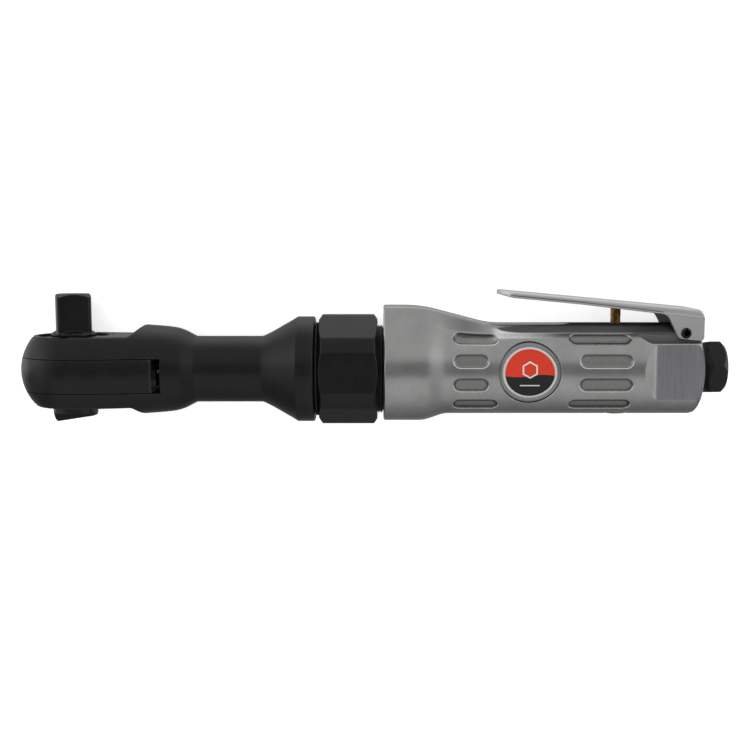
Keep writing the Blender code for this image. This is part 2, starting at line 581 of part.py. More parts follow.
def build_motor_housing():
    """Cast handle: flared front with a raised back, ribbed spine, grip slots, badge pocket."""
    housing = build_handle_blank()
    bore = [(HANDLE_START - CUT, 0), (HANDLE_START - CUT, 15.9), (127.3, 15.9), (127.3, MOTOR_BORE),
            (158.7, MOTOR_BORE), (158.7, 11.4), (162.0, 11.4), (166.0, 4.5), (198.0, 4.5),
            (198.0, 6.3), (222.0, 6.3), (222.0, 0)]
    combine(housing, turned("cut_handle_bore", bore))
    combine(housing, turned("cut_inlet_bore", rod_profile(221.0, HANDLE_END + CUT, 7.9),
                            place=(0, INLET_Y, 0)))
    for side in (-1, 1):
        deck = [(210.6, 14.9), (211.2, 13.2), (212.6, 11.5), (215.0, REAR_DECK), (240, REAR_DECK),
                (240, 22), (210.6, 22)]
        low, high = sorted((side * RIB_FOOT_HALF, side * 20))
        combine(housing, prism("cut_rear_deck_%d" % side, deck, low, high, "Z"))
        flat = [(212.6, 17.4), (214.6, 15.4), (217.5, SIDE_FLAT), (234.6, SIDE_FLAT), (234.6, 19),
                (212.6, 19)]
        outline = [(x, side * z) for x, z in flat]
        combine(housing, prism("cut_side_flat_%d" % side, outline, -9.9, 10.3, "Y"))
    cut_grip_slots(housing)
    pocket = turned("cut_badge_pocket", rod_profile(10, 22, BADGE_RADIUS), "Z", FINE,
                    place=(BADGE_X, 0, 0))
    combine(pocket, turned("keep_badge_floor", rod_profile(150, 190, BADGE_FLOOR)))
    combine(housing, pocket)
    chamber = [(-20, 0), (-20, 5.6), (9.0, 5.6), (9.0, 2.25), (25, 2.25), (25, 0)]
    combine(housing, turned("cut_valve_chamber", chamber, "Y", MEDIUM, place=(VALVE_X, 0, 0)))
    combine(housing, turned("cut_lever_pin_hole", rod_profile(-12, 12, 2.15), "Z", COARSE,
                            place=(LEVER_PIN_X, LEVER_PIN_Y, 0)))
    return housing


def cut_grip_slots(housing):
    """Shallow round-ended slots, four rows on each side, before and behind the badge."""
    rows = (
        (15.3, 143.1, 155.8), (15.3, 189.5, 208.8), (46.0, 143.2, 159.6), (46.0, 186.1, 208.7))
    count = 0
    for face in (0, 180):
        for tilt, start, end in rows:
            for side in (-1, 1):
                count += 1
                outline = slot_points(start, end, 5.0)
                slot = prism("cut_grip_slot_%d" % count, outline, 15.7, 24, "Z")
                slot.rotation_euler = (math.radians(face + side * tilt), 0, 0)
                combine(housing, slot)


def build_badge():
    """Round badge in its pocket, curved like the handle."""
    badge = turned("badge", rod_profile(10, 22, BADGE_RADIUS - 0.35), "Z", FINE, BADGE_PRINT,
                   place=(BADGE_X, 0, 0))
    shell = turned("keep_badge_shell", ring_profile(150, 190, BADGE_FLOOR + 0.15, BADGE_FLOOR + 0.65),
                   "X", FINE)
    combine(badge, shell, "INTERSECT")
    return badge


# ---------------------------------------------------------------- throttle
def lever_top(x):
    """Height of the lever's outer face at rest."""
    return LEVER_TOP_AT_TIP + LEVER_SLOPE * (x - LEVER_TIP_X)


def build_throttle_lever():
    """Bent sheet lever: long palm plate, shallow side flanges and two cheeks at the pin."""
    nose = LEVER_TIP_X + 1.2
    tail = LEVER_END_X - 2.5
    outline = [
        (LEVER_TIP_X, lever_top(LEVER_TIP_X) - 1.2), (nose, lever_top(nose)), (tail, lever_top(tail)),
        (LEVER_END_X, lever_top(LEVER_END_X) - 2.4), (LEVER_END_X, 12.4), (LEVER_END_X - 1.0, 11.4),
        (229.6, 11.4), (226.6, 12.9), (225.6, 15.0), (222.3, 20.6), (219.8, 21.4),
        (186.0, lever_top(186.0) - 2.4), (164.8, lever_top(164.8) - 2.3)]
    local = [(x - LEVER_PIN_X, y - LEVER_PIN_Y) for x, y in outline]
    lever = prism("throttle_lever", local, -LEVER_HALF, LEVER_HALF, "Z", SHEET_STEEL, LEVER)
    inner = LEVER_HALF - SHEET
    start = LEVER_TIP_X - CUT
    end = LEVER_END_X + CUT
    trough = [(start, lever_top(start) - SHEET), (end, lever_top(end) - SHEET), (end, 0), (start, 0)]
    local = [(x - LEVER_PIN_X, y - LEVER_PIN_Y) for x, y in trough]
    combine(lever, prism("cut_lever_trough", local, -inner, inner, "Z", parent=LEVER))
    combine(lever, turned("cut_lever_hole", rod_profile(-13, 13, 2.15), "Z", COARSE, parent=LEVER))
    taper = [(LEVER_TIP_X - CUT, 7.5), (LEVER_TIP_X + 2.0, 9.6), (LEVER_TIP_X + 5.5, LEVER_HALF + 0.05),
             (LEVER_TIP_X + 5.5, 14), (LEVER_TIP_X - CUT, 14)]
    for side in (-1, 1):
        local = [(x - LEVER_PIN_X, side * z) for x, z in taper]
        combine(lever, prism("cut_lever_corner_%d" % side, local, 0, 20, "Y", parent=LEVER))
    return lever


def build_throttle_valve():
    """Push pin, seat, poppet, return spring and the screwed plug under them."""
    turned("lever_pin", ring_profile(-11.6, 11.6, 1.0, 1.85), "Z", MEDIUM, BRIGHT_STEEL, LEVER)
    turned("valve_pin", [(5.6, 0), (5.6, 1.4), (8.0, VALVE_PIN_RADIUS), (23.3, VALVE_PIN_RADIUS),
                         (24.0, 1.2), (24.0, 0)], "Y", MEDIUM, BRASS, VALVE)
    turned("valve_seat", [(2.6, 3.4), (2.6, 5.2), (8.7, 5.2), (8.7, 2.3), (5.4, 2.3), (4.2, 3.4)], "Y",
           MEDIUM, BRASS, VALVE)
    turned("throttle_valve", [(-4.2, 0), (-4.2, 1.5), (-0.6, 1.5), (-0.2, 4.2), (2.0, 4.2), (2.4, 2.6),
                              (4.6, 1.4), (5.2, 0)], "Y", MEDIUM, RUBBER, VALVE)
    coil_spring("valve_spring", -11.3, -0.9, 2.9, 0.45, 6, "Y", VALVE, (0, 0, 0))
    plug = turned("valve_plug", [(-16.6, 0), (-16.6, 4.6), (-16.2, 5.2), (-11.8, 5.2), (-11.8, 0)], "Y",
                  MEDIUM, BRASS, VALVE)
    slit = box("cut_plug_slit", (-6, -18, -0.7), (6, -15.2, 0.7), parent=VALVE)
    combine(plug, slit)


def build_inlet():
    """Hexagonal inlet bushing with its thread stub, sealing ring and air screen."""
    inlet = make_empty("inlet_axis", (0, INLET_Y, 0), TOOL)
    profile = [(225.0, 5.9), (225.0, 7.2), (226.0, 7.5), (HANDLE_END + 0.2, 7.5),
               (HANDLE_END + 0.2, 8.3), (238.3, 8.3), (238.3, 5.9)]
    bushing = turned("inlet_bushing", profile, "X", FINE, BLACK_STEEL, inlet)
    start = 238.0
    corner = INLET_FLATS / math.sqrt(3)
    hexagon = prism("join_inlet_hexagon", hex_points(INLET_FLATS, INLET_TURN), start, TOOL_END, "X",
                    parent=inlet)
    chamfers = [(start - CUT, 0), (start - CUT, 8.3), (start + 0.3, 8.7), (start + 2.6, corner + 0.1),
                (TOOL_END - 2.4, corner + 0.1), (TOOL_END, 8.6), (TOOL_END + CUT, 7.2),
                (TOOL_END + CUT, 0)]
    combine(hexagon, turned("keep_inlet_chamfers", chamfers, "X", FINE, parent=inlet), "INTERSECT")
    combine(hexagon, turned("cut_hexagon_bore", rod_profile(start - CUT, TOOL_END + CUT, 5.9),
                            parent=inlet))
    combine(bushing, hexagon, "UNION")
    turned("inlet_o_ring", ring_profile(223.4, 224.6, 6.4, 7.4), "X", MEDIUM, RUBBER, inlet)
    screen = turned("inlet_screen", rod_profile(222.3, 223.1, 7.4), "X", MEDIUM, BRASS, inlet)
    for index, reach in enumerate((4.2, 5.6, 4.2)):
        middle = 3.2 * (index - 1)
        combine(screen, box("cut_screen_slot_%d" % (index + 1), (220, -reach, middle - 1.0),
                            (226, reach, middle + 1.0), parent=inlet))


build_ratchet_housing()
build_ratchet_yoke()
build_anvil()
build_pawl_parts()
build_head_small_parts()
build_crankshaft()
build_gears()
build_coupling()
build_motor()
build_motor_housing()
build_badge()
build_throttle_lever()
build_throttle_valve()
build_inlet()
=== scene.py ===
"""Looks of the half-inch air ratchet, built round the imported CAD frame.

Shapes are worked out in millimetres in the tool's own axes: x along the tool from the anvil's
axis, y towards the square drive and z up, both from the tool axis. to_frame() turns them into
the frame's metres.
"""
import math

import bmesh
import bpy
import numpy as np
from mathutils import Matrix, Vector


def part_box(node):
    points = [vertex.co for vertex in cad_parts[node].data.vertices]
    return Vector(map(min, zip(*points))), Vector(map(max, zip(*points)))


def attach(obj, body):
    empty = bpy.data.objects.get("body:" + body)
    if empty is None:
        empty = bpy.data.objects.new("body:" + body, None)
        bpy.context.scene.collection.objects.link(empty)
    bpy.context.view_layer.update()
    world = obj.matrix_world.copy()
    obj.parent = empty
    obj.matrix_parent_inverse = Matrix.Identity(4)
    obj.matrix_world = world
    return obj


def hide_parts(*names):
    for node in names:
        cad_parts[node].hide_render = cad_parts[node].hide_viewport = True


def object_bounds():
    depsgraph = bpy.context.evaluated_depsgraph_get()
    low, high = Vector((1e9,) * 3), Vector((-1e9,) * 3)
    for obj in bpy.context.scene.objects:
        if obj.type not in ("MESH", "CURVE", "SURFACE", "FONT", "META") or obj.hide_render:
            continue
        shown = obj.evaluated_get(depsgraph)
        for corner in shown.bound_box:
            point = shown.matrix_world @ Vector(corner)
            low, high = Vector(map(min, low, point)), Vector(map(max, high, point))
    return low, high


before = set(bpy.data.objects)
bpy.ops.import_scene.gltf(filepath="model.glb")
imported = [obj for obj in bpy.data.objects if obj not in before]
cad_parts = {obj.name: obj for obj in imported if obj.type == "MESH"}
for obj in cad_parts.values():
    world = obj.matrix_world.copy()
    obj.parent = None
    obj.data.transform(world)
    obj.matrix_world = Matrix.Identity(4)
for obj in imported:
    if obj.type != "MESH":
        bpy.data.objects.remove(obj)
CAD_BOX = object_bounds()

MM = 0.001
NUT_LOW, NUT_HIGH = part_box("coupling_nut")
AXIS_Y = (NUT_LOW.y + NUT_HIGH.y) / 2      # the tool axis in the frame
FLOOR_Z = CAD_BOX[0].z

HEAD_RADIUS = 19.6
FORK_TOP, FORK_BOTTOM = 13.0, -13.8
MOUTH_TOP, MOUTH_BOTTOM, MOUTH_END = 5.2, -7.8, 35.1      # the fork's slot for the yoke
YOKE_END, YOKE_GAP = 31.9, 0.3
NECK_START, NECK_END, NECK_RADIUS = 46.7, 71.5, 12.5
HANDLE_START, HANDLE_END = 117.4, 236.3
BODY_RADIUS = 16.9
INNER_ROW, OUTER_ROW = 15.3, 46.0          # degrees of the grip slots from the badge's middle
GRIP_SLOTS = ((INNER_ROW, 143.1, 155.8), (INNER_ROW, 189.5, 208.8),
              (OUTER_ROW, 143.2, 159.6), (OUTER_ROW, 186.1, 208.7))
SLOT_DEPTH, SLOT_HALF = 1.15, 2.5
BACK_TOP, RIB_TOP, RIB_START = 24.0, 17.3, 159.3
BENCH_START, BENCH_SIDE, BENCH_LEVEL = 208.6, 9.2, 10.6      # the milled steps beside the rib
FLAT_LEVEL = 13.5
HANDLE_SHARP = 32.0        # degrees between faces that shade as an edge
BADGE_X, BADGE_RADIUS, BADGE_FLOOR = 171.0, 11.4, 16.0
BADGE_BEND = 0.95          # how much shorter the print looks across, being bent round the handle
VALVE_X = 205.15
LEVER_TIP, LEVER_HEEL, LEVER_SHEET = 160.2, 233.4, 1.5
LEVER_PIN_X, LEVER_PIN_Y = 229.3, 14.3
INLET_Y = 0.6


# ---- numbers
def smooth_min(a, b, width):
    """The smaller of two values, rounded over where they meet."""
    share = np.clip(0.5 + 0.5 * (b - a) / width, 0, 1)
    return b + (a - b) * share - width * share * (1 - share)


def smooth_max(a, b, width):
    """The larger of two values, filled in where they meet."""
    return -smooth_min(-a, -b, width)


def step(start, end, x):
    """0 before start, 1 after end, smooth between."""
    share = np.clip((x - start) / (end - start), 0, 1)
    return share * share * (3 - 2 * share)


def curve(points, x):
    """A smooth line through points that never overshoots them."""
    px, py = np.array(points, float).T
    rise = np.diff(py) / np.diff(px)
    slope = np.zeros(len(px))
    for i in range(1, len(px) - 1):
        if rise[i - 1] * rise[i] > 0:
            slope[i] = 2 * rise[i - 1] * rise[i] / (rise[i - 1] + rise[i])
    slope[0], slope[-1] = rise[0], rise[-1]
    i = np.clip(np.searchsorted(px, x) - 1, 0, len(px) - 2)
    h = px[i + 1] - px[i]
    t = np.clip((x - px[i]) / h, 0, 1)
    return ((2 * t**3 - 3 * t**2 + 1) * py[i] + (t**3 - 2 * t**2 + t) * h * slope[i]
            + (3 * t**2 - 2 * t**3) * py[i + 1] + (t**3 - t**2) * h * slope[i + 1])


def spaced(*runs):
    """Values from runs of (start, end, spacing); each run starts where the one before it ends."""
    values = [runs[0][0]]
    for start, end, spacing in runs:
        count = max(1, round((end - start) / spacing))
        values += [start + (end - start) * i / count for i in range(1, count + 1)]
    return np.array(values)


# ---- meshes
def to_frame(points):
    """Millimetres in the tool's axes to metres in the frame."""
    return np.asarray(points, float) * MM + np.array((0, AXIS_Y, 0))


def to_tool(points):
    """Metres in the frame to millimetres in the tool's axes."""
    return (np.asarray(points, float) - np.array((0, AXIS_Y, 0))) / MM


def loft(rings, wrap=False):
    """Quads over closed rings of points. Open ends are closed with a fan, wrapped ones are joined."""
    rings = np.asarray(rings, float)
    count, size = rings.shape[:2]
    verts = rings.reshape(-1, 3)
    faces = []
    for i in range(count if wrap else count - 1):
        a, b = i * size, (i + 1) % count * size
        faces += [(a + j, a + (j + 1) % size, b + (j + 1) % size, b + j) for j in range(size)]
    if not wrap:
        verts = np.vstack([verts, rings[0].mean(0), rings[-1].mean(0)])
        near, far, last = len(verts) - 2, len(verts) - 1, (count - 1) * size
        faces += [((j + 1) % size, j, near) for j in range(size)]
        faces += [(last + j, last + (j + 1) % size, far) for j in range(size)]
    return verts, faces


def around(axis, along, radius, angle, centre=(0, 0, 0)):
    """Points at a radius and angle about an axis. About X, angle 0 is +Z and 90 is +Y."""
    c, s = radius * np.cos(angle), radius * np.sin(angle)
    along = along + np.zeros_like(c)
    spots = {"X": (along, s, c), "Y": (s, along, c), "Z": (c, s, along)}[axis]
    return np.stack(spots, -1) + np.asarray(centre)


def turns(sides):
    """Evenly spaced angles round a circle."""
    return np.arange(sides) * math.tau / sides


def turned(profile, axis="X", sides=96, centre=(0, 0, 0)):
    """Turn (along, radius) points about an axis. A profile whose ends are off the axis makes a ring."""
    angle = turns(sides)
    ring = profile[0][1] > 0 or profile[-1][1] > 0
    inner = profile if ring else profile[1:-1]
    rings = [around(axis, a, r, angle, centre) for a, r in inner]
    verts, faces = loft(rings, wrap=ring)
    if not ring:
        for row, (a, _) in ((-2, profile[0]), (-1, profile[-1])):
            verts[row] = around(axis, a, 0, np.zeros(1), centre)[0]
    return verts, faces


def rod(start, end, radius, axis, sides, centre=(0, 0, 0)):
    """A plain cylinder to cut with."""
    return turned([(start, 0), (start, radius), (end, radius), (end, 0)], axis, sides, centre)


def joined(*parts):
    """Several (verts, faces) as one."""
    verts, faces = [], []
    start = 0
    for part_verts, part_faces in parts:
        verts.append(part_verts)
        faces += [tuple(start + i for i in face) for face in part_faces]
        start += len(part_verts)
    return np.vstack(verts), faces


def prism(outline, low, high, axis="Z"):
    """A flat outline extruded along an axis. The outline is (y, z), (x, z) or (x, y)."""
    u, v = np.array(outline, float).T
    rings = [np.stack({"X": (w, u, v), "Y": (u, w, v), "Z": (u, v, w)}[axis], -1)
             for w in (low + 0 * u, high + 0 * u)]
    count = len(u)
    verts, faces = loft(rings)
    return verts[:-2], faces[:count] + [tuple(range(count)), tuple(range(2 * count - 1, count - 1, -1))]


def box(low, high):
    """An upright block between two corners."""
    (x0, y0, z0), (x1, y1, z1) = low, high
    return prism([(x0, y0), (x1, y0), (x1, y1), (x0, y1)], z0, z1)


def placed(name, data):
    """A new object in the scene."""
    obj = bpy.data.objects.new(name, data)
    bpy.context.scene.collection.objects.link(obj)
    return obj


def mesh_object(name, shape, smooth_angle=35.0):
    """A (verts, faces) shape as a Blender object in the frame, with outward normals."""
    verts, faces = shape
    mesh = bpy.data.meshes.new(name)
    mesh.from_pydata(to_frame(verts).tolist(), [], faces)
    obj = placed(name, mesh)
    clean(obj, smooth_angle)
    return obj


def clean(obj, smooth_angle):
    """Merge doubled points, face every normal outward and mark sharp edges."""
    bm = bmesh.new()
    bm.from_mesh(obj.data)
    bmesh.ops.remove_doubles(bm, verts=bm.verts, dist=2e-6)
    bmesh.ops.dissolve_degenerate(bm, edges=bm.edges, dist=1e-6)
    bmesh.ops.recalc_face_normals(bm, faces=bm.faces)
    bm.to_mesh(obj.data)
    bm.free()
    obj.data.shade_smooth()
    obj.data.set_sharp_from_angle(angle=math.radians(smooth_angle))


def cut(obj, *shapes, smooth_angle=35.0):
    """Cut shapes out of an object, exactly, one after another."""
    for shape in shapes:
        tool = mesh_object("cutter", shape)
        modifier = obj.modifiers.new("cut", "BOOLEAN")
        modifier.operation = "DIFFERENCE"
        modifier.object = tool
        modifier.solver = "EXACT"
        bpy.context.view_layer.update()
        evaluated = obj.evaluated_get(bpy.context.evaluated_depsgraph_get())
        mesh = bpy.data.meshes.new_from_object(evaluated)
        obj.modifiers.clear()
        obj.data = mesh
        bpy.data.objects.remove(tool)
    clean(obj, smooth_angle)


def paint(obj, name, values, domain="POINT"):
    """A float on every vertex or face, for a material to read."""
    obj.data.attributes.new(name, "FLOAT", domain).data.foreach_set(
        "value", np.asarray(values, np.float32))


def vectors(items, key):
    """One vector from each of a mesh's vertices or faces."""
    values = np.zeros(len(items) * 3)
    items.foreach_get(key, values)
    return values.reshape(-1, 3)


def dress(obj, body, slot, *replaced, materials=()):
    """Give a piece its body and materials, and hide the CAD nodes that it stands for.

    The materials are the slot's own unless others are named.
    """
    obj.data.materials.clear()
    for material in materials or (SLOT_MATERIALS[slot],):
        obj.data.materials.append(material)
    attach(obj, body)
    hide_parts(*replaced)


# ---- materials
class Tree:
    """A node tree, with short calls for what this scene needs."""

    def __init__(self, tree):
        self.tree = tree

    def new(self, kind, inputs=None, **settings):
        """A node with its settings, and values or links for its inputs by name or number."""
        node = self.tree.nodes.new(kind)
        for key, value in settings.items():
            setattr(node, key, value)
        for key, value in (inputs or {}).items():
            self.feed(node.inputs[key], value)
        return node

    def feed(self, socket, value):
        if isinstance(value, bpy.types.NodeSocket):
            self.tree.links.new(value, socket)
        elif isinstance(value, tuple) and len(socket.default_value) == 4:
            socket.default_value = (*value, 1.0)
        else:
            socket.default_value = value

    def split(self, vector):
        """A vector's three parts."""
        return self.new("ShaderNodeSeparateXYZ", {0: vector}).outputs

    def maths(self, operation, *values):
        return self.new("ShaderNodeMath", dict(enumerate(values)), operation=operation).outputs[0]

    def span(self, value, low, high, from_low=0.25, from_high=0.75, **settings):
        """A value's range, by default the usual range of noise, laid onto another."""
        inputs = {0: value, 1: from_low, 2: from_high, 3: low, 4: high}
        return self.new("ShaderNodeMapRange", inputs, **settings).outputs[0]

    def mix(self, share, first, second):
        """Two colours, mixed."""
        return self.new("ShaderNodeMix", {0: share, 6: first, 7: second}, data_type="RGBA").outputs[2]

    def blend(self, share, first, second):
        """Two numbers, mixed."""
        return self.new("ShaderNodeMix", {0: share, 2: first, 3: second}, data_type="FLOAT").outputs[0]


class Nodes(Tree):
    """A material's node tree."""

    def __init__(self, name, **inputs):
        self.material = bpy.data.materials.new(name)
        self.material.use_nodes = True
        super().__init__(self.material.node_tree)
        self.shader = self.tree.nodes["Principled BSDF"]
        self.put(**inputs)
        self.place = self.new("ShaderNodeTexCoord").outputs["Object"]

    def put(self, **values):
        """Feed the shader; an input's name has _ for its spaces."""
        for key, value in values.items():
            self.feed(self.shader.inputs[key.replace("_", " ")], value)

    def noise(self, scale, detail=3.0, stretch=(1, 1, 1), roughness=0.55):
        """Noise from 0 to 1. Scale counts blobs per millimetre before the stretch."""
        size = [s / MM for s in stretch]
        place = self.new("ShaderNodeMapping", {"Vector": self.place, "Scale": size}).outputs[0]
        inputs = {"Vector": place, "Scale": scale, "Detail": detail, "Roughness": roughness}
        return self.new("ShaderNodeTexNoise", inputs).outputs["Fac"]

    def painted(self, name):
        """A value painted on the mesh."""
        return self.new("ShaderNodeAttribute", attribute_name=name).outputs["Fac"]

    def edges(self, low=0.52, high=0.6):
        """1 on convex edges, 0 elsewhere: worn edges on the black steel, painted highlights on the
        aluminium.
        """
        return self.span(self.new("ShaderNodeNewGeometry").outputs["Pointiness"], 0.0, 1.0, low, high)

    def bump(self, height, distance, strength, **normal):
        """Relief from a height, on top of another relief where one is given as Normal."""
        inputs = {"Height": height, "Distance": distance * MM, "Strength": strength, **normal}
        return self.new("ShaderNodeBump", inputs).outputs[0]

    def finish(self, colour, rough, **others):
        """Feed the shader and give the material back."""
        self.put(Base_Color=colour, Roughness=rough, **others)
        return self.material


def black_steel(name, colour=(0.003, 0.003, 0.0032), smooth=0.25, rough=0.33):
    """Black oxide over a ground forging: a fine grain, cloudy sheen and browner edges."""
    n = Nodes(name, Metallic=0.0, IOR=1.45)
    cloud = n.noise(0.16, 4)
    grain = n.noise(3.2, 2)
    tint = n.mix(n.span(cloud, 0, 1, 0.35, 0.7), colour, tuple(1.5 * c for c in colour))
    return n.finish(n.mix(n.maths("MULTIPLY", n.edges(), 0.55), tint, (0.04, 0.036, 0.033)),
                    n.maths("ADD", n.span(cloud, smooth, rough), n.span(grain, -0.03, 0.03)),
                    Normal=n.bump(grain, 0.012, 0.5))


def grained(name, dark, light, smooth, rough, relief, scale, stretch=(1, 1, 1), metallic=1.0):
    """A plain surface that one fine grain shades, roughens and lifts."""
    n = Nodes(name, Metallic=metallic)
    grain = n.noise(scale, 3, stretch)
    return n.finish(n.mix(grain, dark, light), n.span(grain, smooth, rough),
                    Normal=n.bump(grain, relief, 0.5))


def bright_steel(name, colour=(0.5, 0.5, 0.5), smooth=0.22, rough=0.36):
    """Ground or turned steel with fine marks."""
    return grained(name, tuple(0.85 * c for c in colour), colour, smooth, rough, 0.004, 1.0, (6, 0.6, 0.6))


def handle_aluminium():
    """Polished casting: satin outside, as-cast slot floors, an as-cast spine darkened with painted shade,
    ground side flats, painted highlights and painted shade.
    """
    n = Nodes("cast_aluminium_polished")
    bench, floor, flat, wall = (n.painted(name) for name in ("bench", "floor", "flat", "wall"))
    cast = n.maths("MAXIMUM", bench, n.painted("strip"))
    cloud = n.noise(0.11, 4)
    around_marks = n.noise(1.0, 3, stretch=(3.2, 0.25, 0.25))
    long_marks = n.noise(1.0, 3, stretch=(0.1, 2.6, 2.6))
    flat_marks = n.noise(1.0, 3, stretch=(2.6, 0.1, 1.0))
    grain = n.noise(2.6, 4, roughness=0.7)
    satin = n.mix(n.span(cloud, 0, 1, 0.3, 0.72), (0.5, 0.497, 0.485), (0.6, 0.597, 0.588))
    satin = n.mix(n.span(around_marks, 0, 0.2), satin, (0.42, 0.415, 0.41))
    ground = n.mix(n.span(flat_marks, 0, 1), (0.44, 0.445, 0.465), (0.58, 0.585, 0.605))
    skin = n.mix(n.span(grain, 0, 1), (0.3, 0.3, 0.292), (0.48, 0.478, 0.468))
    # The spine's strip: as-cast grey, darker than the casting partly for real and partly as painted shade.
    cast_grey_shaded = n.mix(n.span(long_marks, 0, 1), (0.15, 0.15, 0.154), (0.235, 0.235, 0.24))
    colour = n.mix(flat, satin, ground)
    colour = n.mix(floor, colour, skin)
    # Painted shade: the strip turns darker towards the rear, under the lever, as the dark mask says.
    colour = n.mix(cast, colour, n.mix(n.painted("dark"), cast_grey_shaded, (0.105, 0.105, 0.108)))
    # Painted shade: the milled benches under the lever's cheeks are painted near black.
    colour = n.mix(bench, colour, (0.034, 0.034, 0.036))
    # Painted highlights: the band along the rib's foot, the slot rims that face up and, more faintly, all
    # convex edges are painted light.
    painted_highlight = n.maths("MAXIMUM", n.painted("polish"), n.painted("rim"))
    bright = n.maths("MAXIMUM", n.maths("MULTIPLY", n.edges(0.53, 0.64), 0.35), painted_highlight)
    colour = n.mix(bright, colour, (0.86, 0.86, 0.85))
    # Painted shade: the walls of the slots and the badge pocket are painted dark.
    colour = n.mix(n.maths("MULTIPLY", wall, 0.7), colour, (0.1, 0.1, 0.1))
    rough = n.maths("ADD", n.span(cloud, 0.22, 0.31), n.span(around_marks, -0.03, 0.03))
    rough = n.blend(flat, rough, n.span(flat_marks, 0.27, 0.36))
    rough = n.blend(floor, rough, n.span(grain, 0.4, 0.56))
    rough = n.blend(cast, rough, n.span(long_marks, 0.42, 0.58))
    pits = n.bump(n.maths("MULTIPLY", grain, n.maths("MAXIMUM", floor, cast)), 0.1, 0.8)
    marks = n.blend(flat, around_marks, flat_marks)
    # Less metal under the painted highlights keeps them light; the strip and benches get a dark specular
    # tint, which keeps their reflections dark as painted shade.
    return n.finish(colour, rough, Metallic=n.span(painted_highlight, 1.0, 0.35),
                    Specular_Tint=n.mix(cast, (1, 1, 1), (0.05, 0.05, 0.05)),
                    Normal=n.bump(marks, 0.006, 0.6, Normal=pits))


def lever_steel():
    """Nickel-bright sheet, brushed along its length, with painted shade in the groove along the flange's
    foot.
    """
    n = Nodes("sheet_steel_brushed", Metallic=1.0)
    marks = n.noise(1.0, 3, stretch=(0.05, 3.0, 3.0))
    cloud = n.noise(0.2, 3)
    nickel = n.mix(marks, (0.74, 0.735, 0.72), (0.9, 0.895, 0.88))
    # Painted shade: the groove along the flange's foot is painted dark.
    return n.finish(n.mix(n.maths("MULTIPLY", n.painted("wall"), 0.75), nickel, (0.12, 0.12, 0.12)),
                    n.maths("ADD", n.span(marks, 0.4, 0.5), n.span(cloud, -0.03, 0.03)),
                    Normal=n.bump(marks, 0.006, 0.6))


def brass():
    """Turned brass, dulled brown in streaks."""
    n = Nodes("brass_turned", Metallic=1.0)
    stain = n.noise(0.5, 4, stretch=(1, 0.35, 1))
    rings = n.noise(1.0, 2, stretch=(0.3, 5, 0.3))
    colour = n.mix(n.span(stain, 0, 1, 0.35, 0.65), (0.17, 0.085, 0.03), (0.56, 0.33, 0.13))
    return n.finish(colour, n.span(stain, 0.42, 0.26), Normal=n.bump(rings, 0.008, 0.5))


def rubber():
    """Dull nitrile rubber."""
    return grained("nitrile_rubber_dull", (0.01, 0.01, 0.01), (0.022, 0.022, 0.022), 0.55, 0.75,
                   0.02, 2.0, metallic=0.0)


def vane_resin():
    """Brown resin with its weave showing."""
    return grained("vane_resin_woven", (0.13, 0.065, 0.03), (0.22, 0.115, 0.055), 0.45, 0.62,
                   0.02, 1.2, (1, 0.2, 1), metallic=0.0)


def badge_metal(name, colour, smooth, rough, metallic=1.0):
    """The badge plate's bare metal."""
    dark = tuple(0.86 * c for c in colour)
    return grained(name, dark, colour, smooth, rough, 0.0, 1.4, metallic=metallic)


def badge_print():
    """Red over black under a clear dome, with a plain hexagon and a short rule."""
    n = Nodes("badge_print_red_black", Metallic=0.0, IOR=1.3, Coat_Weight=0.25, Coat_Roughness=0.1)
    x, y, _ = n.split(n.place)
    x, y = (n.maths("MULTIPLY", n.maths("SUBTRACT", place, middle), 1 / MM)
            for place, middle in ((x, BADGE_X * MM), (y, AXIS_Y)))

    def inside(distance):
        return n.span(distance, 1, 0, -0.1, 0.1)

    wave = n.maths("MULTIPLY", n.maths("SINE", n.maths("MULTIPLY", x, 0.33)), 0.45)
    lower = inside(n.maths("SUBTRACT", y, n.maths("ADD", wave, -1.0)))
    across, up = n.maths("ABSOLUTE", x), n.maths("ABSOLUTE", n.maths("SUBTRACT", y, 1.2))
    slope = n.maths("ADD", n.maths("MULTIPLY", across, 0.5), n.maths("MULTIPLY", up, 0.866))
    hexagon = n.maths("SUBTRACT", n.maths("MAXIMUM", across, slope), 2.5)
    outline = inside(n.maths("SUBTRACT", n.maths("ABSOLUTE", hexagon), 0.26))
    below = n.maths("ABSOLUTE", n.maths("ADD", y, 4.6))
    rule = n.maths("MAXIMUM", n.maths("SUBTRACT", across, 3.6), n.maths("SUBTRACT", below, 0.2))
    speckle = n.noise(1.5, 2)
    red = n.mix(speckle, (0.56, 0.03, 0.012), (0.7, 0.05, 0.02))
    black = n.mix(speckle, (0.009, 0.01, 0.01), (0.015, 0.016, 0.016))
    lines = n.maths("MAXIMUM", outline, inside(rule))
    return n.finish(n.mix(lines, n.mix(lower, red, black), (0.72, 0.7, 0.68)),
                    n.span(speckle, 0.3, 0.42))


FORGED = (black_steel("black_oxide_forged"),)
BRIGHT = bright_steel("bright_steel_ground")
DARK_PIN = bright_steel("pin_steel_dark", (0.06, 0.06, 0.065), 0.3, 0.45)
LEVER = lever_steel()
SLOT_MATERIALS = {
    "black_oxide_steel": black_steel("black_oxide_turned", (0.0026, 0.0026, 0.0028), 0.22, 0.29),
    "bright_steel": BRIGHT, "satin_sheet_steel": LEVER, "cast_aluminium": handle_aluminium(),
    "spring_steel": bright_steel("spring_steel_drawn", (0.34, 0.34, 0.35)), "brass": brass(),
    "nitrile_rubber": rubber(), "vane_resin": vane_resin(), "badge_print": badge_print()}


